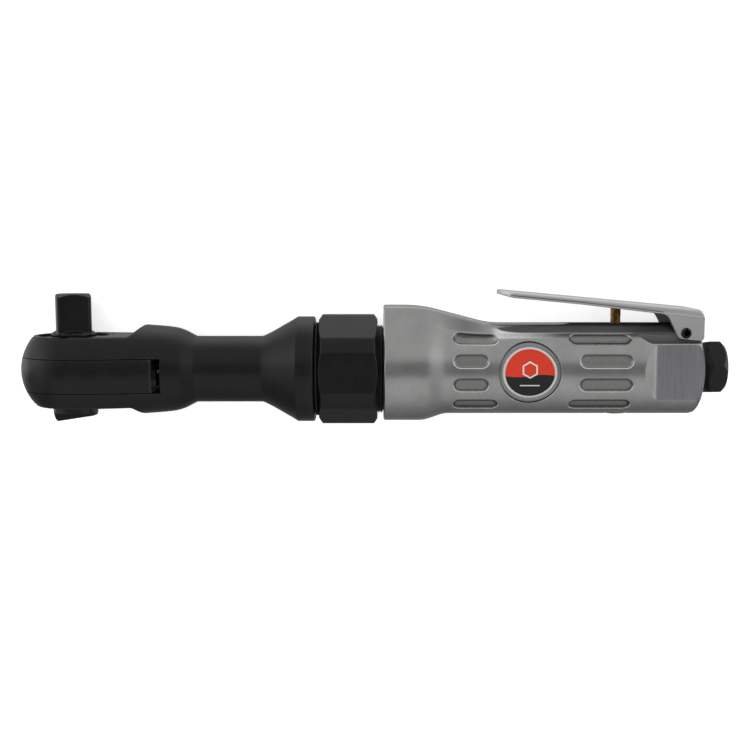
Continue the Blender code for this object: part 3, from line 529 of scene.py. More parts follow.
# ---- ratchet head
HEAD_LINE = [(0, 19.6), (4, 19.57), (8, 19.4), (18, 18.3), (27.2, 16.95), (33, 16.5), (38.5, 15.9),
             (42, 14.9), (44.6, 13.6), (NECK_START, NECK_RADIUS)]
REAR_LINE = [(NECK_END, NECK_RADIUS), (72.0, 12.65), (74.5, 13.8), (80, 16.9), (84.3, 19.4), (84.9, 19.8),
             (85.3, 19.9), (86.0, 19.9)]


def head_radius(x):
    """The turned outline of the head, from the ball nose to the collar."""
    nose = np.sqrt(np.maximum(HEAD_RADIUS**2 - np.minimum(x, 0) ** 2, 0))
    body = np.where(x < NECK_END, curve(HEAD_LINE, x), curve(REAR_LINE, x))
    return np.where(x < 0, nose, body)


def head_blank(xs):
    """Rings of the forged head: the turned outline with flats above and below the fork.

    Each ring's points crowd together where the flats meet the round, so that the edges run clean.
    """
    rings = []
    for x in xs:
        high = smooth_max(FORK_TOP, FORK_TOP + 0.93 * (x - 22.8), 0.8)
        low = smooth_max(-FORK_BOTTOM, -FORK_BOTTOM + 1.05 * (x - 23.4), 0.8)
        radius = max(float(head_radius(x)), 0.01)
        upper = math.degrees(math.asin(min(high / radius, 0.992)))
        lower = -math.degrees(math.asin(min(low / radius, 0.992)))
        side = spaced((-90, lower - 2.4, (lower + 87.6) / 10), (lower - 2.4, lower + 2.4, 0.8),
                      (lower + 2.4, upper - 2.4, (upper - lower - 4.8) / 54),
                      (upper - 2.4, upper + 2.4, 0.8), (upper + 2.4, 90, (87.6 - upper) / 10))
        angle = np.radians(np.concatenate([side, 180 - side[1:-1][::-1]]))
        rise = np.sin(angle)
        level = np.where(rise > 0, high, low) / np.maximum(np.abs(rise), 0.05)
        rings.append(around("X", x, smooth_min(radius, level, 0.9), angle))
    return rings


def nose_stations(end):
    """x places from the nose, closer together where the ball turns in."""
    turn = np.linspace(0.06, math.pi / 2, 18)
    return np.concatenate([-HEAD_RADIUS * np.cos(turn), spaced((0, end, 0.9))[1:]])


def head_loft(rings):
    """The rings as a shape, with the middle of the first drawn out to the ball's end."""
    verts, faces = loft(rings)
    verts[-2] = (-HEAD_RADIUS, 0, 0)
    return verts, faces


def build_ratchet_housing():
    """The forked head with its collar, bored out for the ratchet and for the gears behind it."""
    fore = np.append(nose_stations(46.0), (46.35, NECK_START, 46.85))
    rear = spaced((46.85, NECK_END, 6), (NECK_END, 72.5, 0.25), (72.5, 84, 0.9), (84, 86, 0.25))[1:]
    rings = head_blank(np.concatenate([fore, rear]))
    angle = np.arctan2(rings[-1][:, 1], rings[-1][:, 2])
    collar = [(91.0, 19.9), (91.3, 19.75), (91.5, 19.4), (91.5, 16.6), (91.8, 16.2), (92.15, 16.65),
              (92.5, 16.2), (92.85, 16.65), (93.2, 16.2), (104.0, 16.6), (104.0, 15.0), (78.2, 15.0),
              (74.5, 9.1), (33.5, 9.1)]
    rings += [around("X", x, r, angle) for x, r in collar]
    housing = mesh_object("ratchet_housing_forging", head_loft(rings))
    bores = [(-14.8, 0), (-14.8, 9.3), (0, 9.3), (0, 11.3), (11.0, 11.3), (11.0, 15.0), (14.0, 15.0),
             (14.0, 0)]
    mouth = box((-25, MOUTH_BOTTOM, -25), (MOUTH_END, MOUTH_TOP, 25))
    cut(housing, mouth, turned(bores, "Y"), smooth_angle=24.0)
    dress(housing, "handle", "black_oxide_steel", "ratchet_housing", materials=FORGED)


def build_ratchet_yoke():
    """The part of the ball between the fork's tongues, toothed inside and open to the crank."""
    yoke = mesh_object("ratchet_yoke_forging", head_loft(head_blank(nose_stations(YOKE_END))))
    low, high = MOUTH_BOTTOM + YOKE_GAP, MOUTH_TOP - YOKE_GAP
    teeth = 30
    outline = []
    for tooth in range(teeth):
        for radius, share in ((12.4, -0.42), (10.95, -0.06), (10.95, 0.06), (12.4, 0.42)):
            turn = math.tau * (tooth + share) / teeth
            outline.append((radius * math.cos(turn), radius * math.sin(turn)))
    mouth = [(21.6, -5.5), (20.2, -3.0), (20.2, 3.0), (21.6, 5.5), (22.8, 7.2), (35, 7.2),
             (35, -7.2), (22.8, -7.2)]
    cut(yoke, box((-25, high, -25), (40, 25, 25)), box((-25, -25, -25), (40, low, 25)),
        prism(outline, low - 1, high + 1, "Y"), prism(mouth, low - 1, high + 1, "Y"))
    dress(yoke, "yoke", "black_oxide_steel", "ratchet_yoke", materials=FORGED)


def build_anvil():
    """The square drive with its turned-down corners, flared foot and the journal below it."""
    angle = turns(240)
    turn = math.radians(18.0)
    half, corner = 6.35, 1.6
    bearing = (angle - turn + math.pi / 4) % (math.pi / 2) - math.pi / 4
    flat, centre = half / np.cos(bearing), half - corner
    lead = centre * (np.cos(bearing) + np.abs(np.sin(bearing)))
    arc = lead + np.sqrt(np.maximum(corner**2 - 2 * centre**2 + lead**2, 0))
    square = np.where(np.abs(np.tan(bearing)) * half < centre, flat, arc)
    journal = [(-13.4, 8.8), (-13.2, 9.0), (-7.6, 9.0), (-7.4, 10.4), (4.9, 10.4), (5.2, 11.0),
               (10.8, 11.0), (11.0, 10.8)]
    rings = [around("Y", y, r, angle) for y, r in journal]
    for y in spaced((11.2, 12.9, 0.85), (12.9, 16.4, 0.25), (16.4, 26.4, 1.0), (26.4, 28.3, 0.2)):
        foot = 8.35 - 3.4 * step(13.3, 15.9, y)
        flare = smooth_max(square, foot, 0.6) if y > 12.9 else 8.35
        top = 6.35 + 1.9 * (28.3 - y)
        rings.append(around("Y", y, smooth_min(flare, top, 0.25), angle))
    rings.append(around("Y", 28.5, smooth_min(square, 5.9, 0.25), angle))
    anvil = mesh_object("square_drive", loft(rings), 30.0)
    cut(anvil, rod(-15, 2.2, 3.7, "Y", 32), box((3.2, -4.6, -12), (12, 2.0, 12)),
        rod(-6.6, 4.2, 1.25, "Y", 20, (7.2, 0, 0)), ball_hole(turn), smooth_angle=30.0)
    dress(anvil, "anvil", "black_oxide_steel", "square_drive_anvil")


def ball_hole(turn):
    """The blind hole of the socket ball, in the square's face away from the badge side."""
    verts, faces = rod(-9, -0.1, 1.75, "Z", 24, (0, 21.5, 0))
    x, z = verts[:, 0].copy(), verts[:, 2].copy()
    verts[:, 0] = x * math.cos(turn) + z * math.sin(turn)
    verts[:, 2] = z * math.cos(turn) - x * math.sin(turn)
    return verts, faces


def build_head_trim():
    """Washer and circlip in the recess, and the reversing knob under the head."""
    washer = [(11.3, 8.7), (11.3, 14.6), (11.9, 14.6), (12.0, 14.4), (12.0, 8.9), (11.9, 8.7)]
    washer = mesh_object("anvil_washer", turned(washer, "Y"))
    dress(washer, "handle", "black_oxide_steel", "anvil_thrust_washer")
    ring = [(12.3, 13.3), (12.3, 14.7), (12.8, 14.7), (12.9, 14.6), (12.9, 13.4), (12.8, 13.3)]
    circlip = mesh_object("anvil_circlip", turned(ring, "Y"))
    cut(circlip, box((-1.4, 11, 10), (1.4, 14, 17)))
    dress(circlip, "handle", "black_oxide_steel", "anvil_snap_ring")
    profile = [(-20.65, 0), (-20.65, 5.2), (-20.3, 6.0), (-19.4, 7.3), (-18.2, 7.9), (-16.4, 8.3),
               (-14.4, 8.3), (-14.1, 8.0), (-14.1, 3.3), (1.6, 3.3), (1.6, 0)]
    knob = mesh_object("reversing_knob_bar", turned(profile, "Y", 80))
    slope = [(-12, -20.65), (12, -16.9), (12, -24), (-12, -24)]
    cut(knob, prism(slope, -12, 12), box((-12, -22, 3.2), (12, -16.4, 12)),
        box((-12, -22, -12), (12, -16.4, -3.2)), rod(-1.9, 5, 1.35, "X", 20, (0, -1.3, 0)))
    bevel = knob.modifiers.new("edges", "BEVEL")
    bevel.width = 0.35 * MM
    bevel.segments = 2
    bevel.limit_method = "ANGLE"
    bevel.angle_limit = math.radians(35)
    bevel.harden_normals = True
    dress(knob, "knob", "black_oxide_steel", "reversing_knob")


# ---- coupling
def hexagon(angle, across_flats, turn, rounding):
    """Distance out to a hexagon's faces, with its corners rounded."""
    reach = 1e9
    for side in range(6):
        facing = np.maximum(np.cos(angle - turn - side * math.pi / 3), 1e-3)
        reach = smooth_min(reach, across_flats / 2 / facing, rounding)
    return reach


def build_coupling_nut():
    """The hexagon nut, with the threaded clamp ring and the seal that it hides."""
    angle = turns(240)
    reach = smooth_min(hexagon(angle, 38.6, 0.0, 0.12), 20.75, 0.12)
    start, end = 93.1, 115.1
    rings = []
    for x in spaced((start, start + 3.2, 0.2), (start + 3.2, end - 3.2, 2.6), (end - 3.2, end, 0.2)):
        inward = min(x - start, end - x)
        rings.append(around("X", x, smooth_min(reach, 18.9 + 1.45 * inward, 0.25), angle))
    rings += [around("X", x, r, angle)
              for x, r in ((end, 17.4), (end - 0.4, 17.1), (start + 0.4, 17.1), (start, 17.4))]
    nut = mesh_object("coupling_nut_hexagon", loft(rings, wrap=True), 24.0)
    dress(nut, "handle", "black_oxide_steel", "coupling_nut", materials=FORGED)
    thread = [(104.8, 14.4), (104.8, 16.5)]
    for pitch in range(13):
        x = 105.0 + pitch * 0.93
        thread += [(x, 16.15), (x + 0.32, 16.7), (x + 0.46, 16.7), (x + 0.78, 16.15)]
    thread += [(117.1, 16.4), (117.1, 15.7), (127.0, 15.7), (127.0, 14.4)]
    clamp = mesh_object("clamp_ring_thread", turned(thread), 24.0)
    dress(clamp, "handle", "black_oxide_steel", "clamp_ring")
    seal = [(92.3 + 0.42 * math.cos(t), 17.3 + 0.42 * math.sin(t)) for t in turns(12)]
    ring = mesh_object("coupling_seal", turned(seal))
    dress(ring, "handle", "nitrile_rubber", "coupling_o_ring")


# ---- handle
def mirrored(angle):
    """Angles of the far half folded onto the near one."""
    angle = (angle + math.pi / 2) % math.tau - math.pi / 2
    return np.where(angle > math.pi / 2, math.pi - angle, angle)


def front_break(x):
    """How far the handle's front edge is rounded in."""
    return 0.55 * (1 - np.clip((x - HANDLE_START) / 0.6, 0, 1)) ** 2


def body_line(x):
    """The radius of the round body: flared in front, rounded over at the end."""
    flared = BODY_RADIUS + 2.6 * (1 - step(131.0, 141.9, x))
    end = curve([(232.6, BODY_RADIUS), (233.9, 16.6), (234.7, 15.9), (235.3, 15.0), (235.8, 13.8),
                 (236.1, 12.7), (HANDLE_END, 11.3)], x)
    return np.where(x > 232.6, end, flared) - front_break(x)


def skin(x, fold):
    """Distance out to the handle before it is milled: a round body with a raised back, then a rib.

    fold is the angle from the badge up towards the back, on either half. Two sides are worked out,
    a flat flank tangent to the body and a rib that stands on it, and one passes into the other.
    """
    radius = body_line(x)
    fall = smooth_min(BACK_TOP - 0.2617 * (x - 131.6), BACK_TOP, 1.6)
    top = smooth_max(fall, RIB_TOP, 1.0)
    top = top - 0.7 * np.clip((x - 235.2) / 1.1, 0, 1) ** 2 - front_break(x)
    half = np.interp(x, (HANDLE_START, 141.6, 149, 157.2, 163, 235.8, HANDLE_END),
                     (9.3, 9.1, 8.9, 8.6, 8.0, 8.0, 7.6))
    corner = 1.6
    reach = np.hypot(half - corner, top - corner)
    lean = np.arccos(np.clip((radius - corner) / reach, -1, 1))
    facing = np.arctan2(top - corner, half - corner) - lean
    foot, leave = math.radians(56.4), math.radians(14.0)
    rise = top - corner + corner * math.sin(leave) - radius * math.sin(foot)
    back = radius * math.cos(foot) - (half - corner + corner * math.cos(leave))
    rib_facing = np.arctan2(back, rise)
    rib_reach = radius * np.cos(foot - rib_facing)
    flank = np.where(fold > facing, radius / np.maximum(np.cos(fold - facing), 0.05), radius)
    rib = np.where(fold > rib_facing, rib_reach / np.maximum(np.cos(fold - rib_facing), 0.05), 0)
    side = flank + (smooth_max(radius, rib, 0.12) - flank) * step(128.0, 159.0, x)
    return np.where(fold > 0.2, smooth_min(side, top / np.maximum(np.sin(fold), 0.05), 0.8), radius)


def slot_distance(x, fold):
    """Distance outwards from the nearest grip slot's outline, negative inside it."""
    nearest = math.inf
    for row, start, end in GRIP_SLOTS:
        for sign in (-1, 1):
            across = BODY_RADIUS * np.sin(np.clip(fold - sign * math.radians(row), -1.5, 1.5))
            along = x - np.clip(x, start + SLOT_HALF, end - SLOT_HALF)
            nearest = np.minimum(nearest, np.hypot(along, across) - SLOT_HALF)
    return nearest


def sunk(x, side, row, depth):
    """Points straight in from the handle's skin along Z; side runs over the skin from a row."""
    fold = row + np.arcsin(side / BODY_RADIUS)
    for _ in range(4):
        fold = row + np.arcsin(side / skin(x, fold))
    reach = skin(x, fold)
    return np.stack((x, reach * np.sin(fold), reach * np.cos(fold) - depth / math.cos(row)), -1)


def slot_tool(row, start, end, far):
    """What a cutter takes out for one grip slot: straight walls, a broken edge and a floor."""
    turn = np.linspace(0, math.pi, 15)
    run = spaced((start + SLOT_HALF, end - SLOT_HALF, 1.3))[1:-1]
    rings = []
    for grow, depth in ((-2.2, SLOT_DEPTH), (-1.4, SLOT_DEPTH), (-0.72, SLOT_DEPTH),
                        (-0.42, SLOT_DEPTH - 0.08), (-0.16, SLOT_DEPTH - 0.26),
                        (-0.03, SLOT_DEPTH - 0.52), (0.0, 0.24), (0.14, 0.12), (0.36, 0.03),
                        (0.45, -0.1), (0.45, -3.0)):
        reach = SLOT_HALF + grow
        x = np.concatenate([end - SLOT_HALF + reach * np.sin(turn), run[::-1],
                            start + SLOT_HALF - reach * np.sin(turn), run])
        side = np.concatenate([reach * np.cos(turn), np.full(len(run), -reach),
                               -reach * np.cos(turn), np.full(len(run), reach)])
        rings.append(sunk(x, side, math.radians(row), depth) * (1, 1, -1 if far else 1))
    return loft(rings)


def bent(reach, level, turn, squash=1.0):
    """A circle round the badge's middle, bent over a cylinder about the tool axis."""
    y = reach * np.sin(turn) * squash
    return np.stack((BADGE_X + reach * np.cos(turn), y, np.sqrt(level**2 - y**2)), -1)


def pocket_tool():
    """The badge's pocket: a curved floor, a straight wall and a broken edge."""
    profile = [(0.3, BADGE_FLOOR), (4.0, BADGE_FLOOR), (8.0, BADGE_FLOOR), (BADGE_RADIUS, BADGE_FLOOR),
               (BADGE_RADIUS, 16.6), (BADGE_RADIUS + 0.08, 16.75), (BADGE_RADIUS + 0.34, 16.98),
               (BADGE_RADIUS + 0.34, 20.0)]
    return loft([bent(reach, level, turns(120)) for reach, level in profile])


def deck_level(x):
    """Height of the bench beside the valve, that the lever's cheeks come down to."""
    return BENCH_LEVEL + 3.75 * (1 - step(209.0, 216.8, x))


def deck_tools():
    """What the mill takes out on both sides of the rib."""
    outline = [(x, float(deck_level(x))) for x in spaced((BENCH_START, 217.4, 0.35))]
    outline += [(240, BENCH_LEVEL), (240, 26), (BENCH_START, 26)]
    return joined(prism(outline, BENCH_SIDE, 26), prism(outline, -26, -BENCH_SIDE))


def flat_tools():
    """The mill's path over the two side flats: down a ramp, then out past the handle's end."""
    path = [(212.3, 17.43), (216.9, 14.2), (217.4, 13.88), (217.9, 13.62), (218.4, FLAT_LEVEL),
            (238.0, FLAT_LEVEL), (238.0, 24.0), (212.3, 24.0)]
    return joined(*(prism([(x, side * z) for x, z in path], -20, 20, "Y") for side in (1, -1)))


def mark_handle(handle):
    """Paint what the material reads: the as-cast rib and what lies round it, with painted shade under the
    lever, the flats, the slots, painted shade on their walls and painted highlights on their rims.
    """
    x, y, z = to_tool(vectors(handle.data.vertices, "co")).T
    degrees = np.degrees(mirrored(np.arctan2(y, z)))
    low = np.interp(x, (RIB_START, 161.0, 164.0, 168.0), (62.5, 60.2, 58.6, 57.4))
    high = np.interp(x, (RIB_START, 163.0, 172.0, 184.0, 188.0), (62.5, 65.0, 67.2, 69.0, 92.0))
    strip = step(-0.5, 0.5, degrees - low) * (1 - step(-0.5, 0.5, degrees - high)) * (x > RIB_START)
    paint(handle, "strip", np.where(np.hypot(y, z) > 9.5, strip, 0))
    # Painted shade: darker towards the rear, under the lever.
    paint(handle, "dark", step(198.0, 222.0, x))
    # Painted highlight: a light band along the rib's foot, fainter towards the rear.
    painted_highlight = step(45.0, 48.5, degrees) * (1 - step(low - 0.6, low, degrees)) * step(155.0, 161.0, x)
    paint(handle, "polish", painted_highlight * (0.8 - 0.5 * step(164.0, 186.0, x)))
    x, y, z = to_tool(vectors(handle.data.polygons, "center")).T
    fold, reach = mirrored(np.arctan2(y, z)), np.hypot(y, z)
    depth = skin(x, fold) - reach
    over = np.arcsin(np.clip(y / BODY_RADIUS, -1, 1))
    for _ in range(4):
        over = np.arcsin(np.clip(y / skin(x, over), -1, 1))
    row = np.radians(np.where(np.abs(over) > 0.53, OUTER_ROW, INNER_ROW))
    under = (skin(x, over) * np.cos(over) - np.abs(z)) * np.cos(row)
    near = (slot_distance(x, over) < 0.6) & (np.abs(y) < 15.5)
    slot = near & (under > 0.2) & (under < 1.3)
    pocket = (np.hypot(x - BADGE_X, y) < BADGE_RADIUS + 0.3) & (z > 8) & (depth > 0.12) & (depth < 1.0)
    bench = ((x > BENCH_START + 0.1) & (y > deck_level(x) - 0.05) & (np.abs(z) > BENCH_SIDE - 0.05)
             & (depth > 0.1) & (reach > 9.5))
    flat = (x > 218.2) & (np.abs(np.abs(z) - FLAT_LEVEL) < 0.02) & (depth > 0.02) & ~bench
    rise = vectors(handle.data.polygons, "normal")[:, 1]
    # Painted shade on the slot walls, full on those that face down and faint on those that face up; the
    # badge pocket's wall gets it too.
    wall = (slot & (under < SLOT_DEPTH - 0.02)) * np.where(rise < 0.2, 1.0, 0.2)
    marks = {"bench": bench, "flat": flat, "floor": slot & (under > SLOT_DEPTH - 0.15),
             "wall": np.maximum(wall, pocket & (depth < 0.85)),
             # The rim is a painted highlight on the broken edges of the slots that face up.
             "rim": 0.55 * (near & (under > 0.01) & (under <= 0.2) & (rise - np.sin(over) > 0.06))}
    for name, values in marks.items():
        paint(handle, name, values, "FACE")


def build_handle():
    """The handle's casting: outside, then the motor's bore back to the front, then what is cut out."""
    # Closest where the outline or the section changes fast: the ends, the rib's start and its foot.
    stations = spaced((HANDLE_START, 118.0, 0.15), (118.0, 131.0, 1.5), (131.0, 143.0, 0.75),
                      (143.0, 158.6, 1.2), (158.6, 170.0, 0.45), (170.0, 232.4, 1.6),
                      (232.4, HANDLE_END, 0.26))
    side = np.radians(spaced((-90, 24, 2.0), (24, 54, 1.25), (54, 72, 0.75), (72, 90, 1.5)))
    angles = np.concatenate([side, (math.pi - side)[1:-1][::-1]])
    x, angle = np.meshgrid(stations, angles, indexing="ij")
    rings = list(around("X", x, skin(x, mirrored(angle)), angle))
    rings += [around("X", place, 7.9, angles, (0, INLET_Y, 0)) for place in (HANDLE_END, 222.0)]
    bore = [(222.0, 6.3), (198.0, 6.3), (198.0, 4.5), (166.0, 4.5), (162.0, 11.4), (158.7, 11.4),
            (158.7, 14.3), (127.3, 14.3), (127.3, 15.9), (HANDLE_START, 15.9)]
    rings += [around("X", place, radius, angles) for place, radius in bore]
    handle = mesh_object("motor_housing_casting", loft(rings, wrap=True), HANDLE_SHARP)
    chamber = turned([(-20, 0), (-20, 5.6), (9.0, 5.6), (9.0, 2.25), (25, 2.25), (25, 0)], "Y", 40,
                     (VALVE_X, 0, 0))
    pin_hole = rod(-12, 12, 2.15, "Z", 28, (LEVER_PIN_X, LEVER_PIN_Y, 0))
    slots = [slot_tool(sign * row, start, end, far) for row, start, end in GRIP_SLOTS
             for sign in (-1, 1) for far in (False, True)]
    cut(handle, deck_tools(), flat_tools(), joined(chamber, pocket_tool(), *slots), pin_hole,
        smooth_angle=HANDLE_SHARP)
    mark_handle(handle)
    dress(handle, "handle", "cast_aluminium", "motor_housing")


def build_badge():
    """A curved badge in its pocket: a rounded metal rim, a bright bead and the printed dome."""
    profile = [(2.0, 16.61), (4.0, 16.58), (6.0, 16.54), (7.6, 16.5), (8.6, 16.46), (9.05, 16.4),
               (9.12, 16.4), (9.2, 16.47), (9.45, 16.51), (9.75, 16.5), (9.9, 16.44),
               (9.96, 16.4), (10.15, 16.5), (10.45, 16.64), (10.75, 16.7), (10.98, 16.64),
               (11.12, 16.5), (11.15, 16.1)]
    angle = turns(144)
    rings = [around("Z", 16.62, 0.3, angle, (BADGE_X, 0, 0))]
    for reach, level in profile:
        squash = 1 - (1 - BADGE_BEND) * (1 - step(9.9, 11.0, reach))
        rings.append(bent(reach, level, angle, squash))
    rings += [bent(reach, BADGE_FLOOR + 0.06, angle) for reach in (11.0, 0.4)]
    badge = mesh_object("badge_plate", loft(rings), 40.0)
    rim = badge_metal("badge_rim", (0.44, 0.46, 0.47), 0.26, 0.36)
    bead = badge_metal("badge_bead", (0.8, 0.78, 0.76), 0.26, 0.34, 0.45)
    dress(badge, "handle", "badge_print", "badge", materials=(SLOT_MATERIALS["badge_print"], bead, rim))
    for face in badge.data.polygons:
        x, y, z = to_tool(face.center)
        reach = math.hypot(x - BADGE_X, y / BADGE_BEND)
        face.material_index = 0 if reach < 9.1 and z > 12 else 1 if reach < 9.93 else 2


# ---- throttle
def lever_top(x):
    """Height of the lever's flat top, that slopes down to the pivot."""
    return 30.1 - 0.0932 * (x - LEVER_TIP)


def lever_foot(x):
    """The lower edge of the lever's side walls: a shallow flange, then the cheeks."""
    flange = lever_top(x) - np.interp(x, (LEVER_TIP, 161.2, 163.0, 165.2, 190.0, 219.8),
                                      (1.62, 1.72, 2.05, 2.35, 2.4, 3.1))
    cheek = np.interp(
        x, (219.8, 221.2, 222.3, 223.2, 226.0, 226.5, 227.2, 228.2, 234.6, 235.5, 236.0),
        (21.4, 21.15, 20.4, 19.0, 13.2, 12.45, 11.9, 11.65, 11.35, 11.7, 12.5))
    return np.where(x < 219.8, flange, cheek)


def lever_half(x):
    """Half the lever's width: a rounded nose, then straight."""
    tip = 1 - np.clip((x - LEVER_TIP) / 1.6, 0, 1)
    taper = 1 - np.clip((x - LEVER_TIP) / 6.0, 0, 1)
    return 5.2 * np.sqrt(1 - tip**2) + 6.0 * (1 - taper**2.2)


def lever_section(x, inset):
    """One outline of the lever from foot to foot, set in from the outer skin by inset.

    The cheeks stand in a little under a crease with a bead on it. The flange is rolled outwards
    over a groove along its lower edge.
    """
    outside = inset == 0
    heel = np.clip((x - LEVER_HEEL) / 2.6, 0, 1)
    top = lever_top(x) - 2.9 * (1 - math.sqrt(1 - heel**2))
    top = top - 0.5 * (1 - min(1.0, (x - LEVER_TIP) / 0.9)) ** 2 * outside - inset
    half = max(float(lever_half(x)) - inset, 0.02)
    foot = float(lever_foot(x))
    room = max(top - foot, 0.05)
    bend = min(1.3 if outside else 0.6, half * 0.9, room * 0.5)
    lip = min(0.55, half * 0.5, room * 0.3) if outside else 0.0
    crease = lever_top(x) - 2.95
    formed = float(step(219.0, 221.5, x))
    flange = outside * float(step(163.5, 166.0, x)) * (1 - formed)
    points = [(half - lip + lip * math.sin(t), foot + lip - lip * math.cos(t))
              for t in np.linspace(0, math.pi / 2, 5)[:-1]]
    heights = np.sort(np.concatenate([
        np.linspace(foot, crease - 0.5, 8), np.linspace(crease + 0.45, top - bend, 4),
        crease + np.array((-0.34, -0.2, -0.08, 0.04, 0.16, 0.3)),
        foot + np.array((0.62, 0.72, 0.82, 0.92, 1.02, 1.12))]))
    for y in np.clip(heights, foot + lip, foot + room - bend):
        bead = 0.12 * math.exp(-(((y - crease - 0.12) / 0.16) ** 2))
        inward = 0.36 * (1 - float(step(crease - 0.34, crease - 0.04, y)))
        groove = 0.22 * math.exp(-(((y - foot - 0.87) / 0.16) ** 2))
        points.append((half - flange * groove + formed * (bead - inward), y))
    points += [(half - bend + bend * math.cos(t), foot + room - bend + bend * math.sin(t))
               for t in np.linspace(0, math.pi / 2, 6)[1:]]
    points += [((half - bend) * share, foot + room) for share in (0.66, 0.33)]
    left = [(-z, y) for z, y in reversed(points)]
    return np.array([(x, y, z) for z, y in points + [(0.0, foot + room)] + left])


def build_throttle_lever():
    """The lever's sheet: an outer and an inner skin, joined along the feet and closed at the ends."""
    places = np.concatenate([
        LEVER_TIP + 2.0 * (1 - np.cos(np.linspace(0.12, math.pi / 2, 9))),
        spaced((162.2, 167.0, 0.45), (167.0, 218.6, 2.6), (218.6, 229.8, 0.4),
               (229.8, LEVER_HEEL, 0.8))[1:],
        LEVER_HEEL + 2.6 * np.sin(np.linspace(0, math.pi / 2, 13))[1:]])
    outer = np.array([lever_section(x, 0.0) for x in places])
    inner = np.array([lever_section(max(x, LEVER_TIP + LEVER_SHEET + 0.05 * (x - LEVER_TIP)), LEVER_SHEET)
                      for x in places])
    inner[-1, :, 0] = outer[-1, :, 0]
    rings = np.concatenate([outer, inner[:, ::-1]], axis=1)
    verts, faces = loft(rings)
    size = rings.shape[1]
    verts, faces = verts[:-2], faces[:-2 * size]
    last = (len(rings) - 1) * size
    for j in range(outer.shape[1] - 1):
        faces.append((j, j + 1, size - 2 - j, size - 1 - j))
        faces.append((last + j + 1, last + j, last + size - 1 - j, last + size - 2 - j))
    lever = mesh_object("throttle_lever_sheet", (verts, faces), 38.0)
    cut(lever, rod(-13, 13, 1.98, "Z", 32, (LEVER_PIN_X, LEVER_PIN_Y, 0)), smooth_angle=38.0)
    x, y, z = to_tool(vectors(lever.data.vertices, "co")).T
    # Painted shade for the groove along the flange's foot, where the material darkens the sheet.
    groove = np.exp(-(((y - lever_foot(x) - 0.87) / 0.24) ** 2))
    paint(lever, "wall", groove * (np.abs(z) > 8) * (x > 164) * (x < 221))
    dress(lever, "lever", "sheet_steel", "throttle_lever", materials=(LEVER,))


def build_throttle_parts():
    """The lever's pin, the pin that it presses and the plug under the valve."""
    pin = mesh_object("lever_roll_pin", turned(
        [(-11.6, 1.1), (-11.6, 1.55), (-11.3, 1.85), (11.3, 1.85), (11.6, 1.55), (11.6, 1.1),
         (11.2, 0.95), (-11.2, 0.95)], "Z", 40, (LEVER_PIN_X, LEVER_PIN_Y, 0)))
    cut(pin, box((LEVER_PIN_X - 0.25, LEVER_PIN_Y, -13), (LEVER_PIN_X + 0.25, LEVER_PIN_Y + 3, 13)))
    dress(pin, "handle", "bright_steel", "lever_pin", materials=(DARK_PIN,))
    stem = mesh_object("valve_push_pin", turned(
        [(5.6, 0), (5.6, 1.4), (8.0, 1.9), (19.2, 1.9), (19.3, 1.78), (19.6, 1.78), (19.7, 1.9),
         (23.1, 1.9), (23.6, 1.7), (23.9, 1.2), (24.0, 0.6), (24.0, 0)], "Y", 48, (VALVE_X, 0, 0)))
    dress(stem, "valve", "brass", "valve_pin")
    plug = mesh_object("valve_plug_screw", turned(
        [(-16.6, 0), (-16.6, 4.5), (-16.45, 4.9), (-16.1, 5.15), (-15.6, 5.2), (-11.8, 5.2), (-11.8, 0)],
        "Y", 56, (VALVE_X, 0, 0)))
    cut(plug, box((VALVE_X - 6, -18, -0.7), (VALVE_X + 6, -15.2, 0.7)))
    dress(plug, "handle", "brass", "valve_plug")


def build_inlet():
    """The inlet bushing: a hexagon with deep chamfers, a grooved neck and a threaded bore."""
    angle = turns(192)
    reach = hexagon(angle, 19.0, math.radians(38.0), 0.35)
    neck = [(225.0, 7.2), (226.0, 7.5), (236.4, 7.5), (236.5, 8.1), (236.7, 8.3), (237.9, 8.3)]
    rings = [around("X", x, r, angle) for x, r in neck]
    for x in spaced((238.0, 241.2, 0.2), (241.2, 243.0, 0.9), (243.0, 246.0, 0.2)):
        front = 8.45 + 1.05 * (x - 238.0)
        back = 8.6 + 1.02 * (246.0 - x)
        rings.append(around("X", x, smooth_min(smooth_min(reach, front, 0.3), back, 0.3), angle))
    bore = [(246.0, 7.2), (245.4, 6.5)]
    for pitch in range(13):
        x = 245.2 - pitch * 1.1
        bore += [(x, 6.35), (x - 0.45, 5.9), (x - 0.65, 5.9)]
    bore += [(227.0, 5.9), (225.0, 5.9)]
    rings += [around("X", x, r, angle) for x, r in bore]
    rings = np.array(rings) + (0, INLET_Y, 0)
    inlet = mesh_object("inlet_bushing_hexagon", loft(rings, wrap=True), 26.0)
    dress(inlet, "handle", "black_oxide_steel", "inlet_bushing", materials=FORGED)


# ---- the object
build_ratchet_housing()
build_ratchet_yoke()
build_anvil()
build_head_trim()
build_coupling_nut()
build_handle()
build_badge()
build_throttle_lever()
build_throttle_parts()
build_inlet()
# The CAD nodes that stay as they are get the same materials. The ones seen inside the head get the dark
# pin steel as painted shade.
SHADED_IN_HEAD = ("crankshaft", "drive_bushing", "front_needle_bearing", "pawl_pin", "ratchet_pawl")
for name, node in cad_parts.items():
    for holder in node.material_slots:
        known = [m for slot, m in SLOT_MATERIALS.items() if holder.material.name.startswith(slot)]
        holder.material = DARK_PIN if name in SHADED_IN_HEAD else known[0] if known else BRIGHT


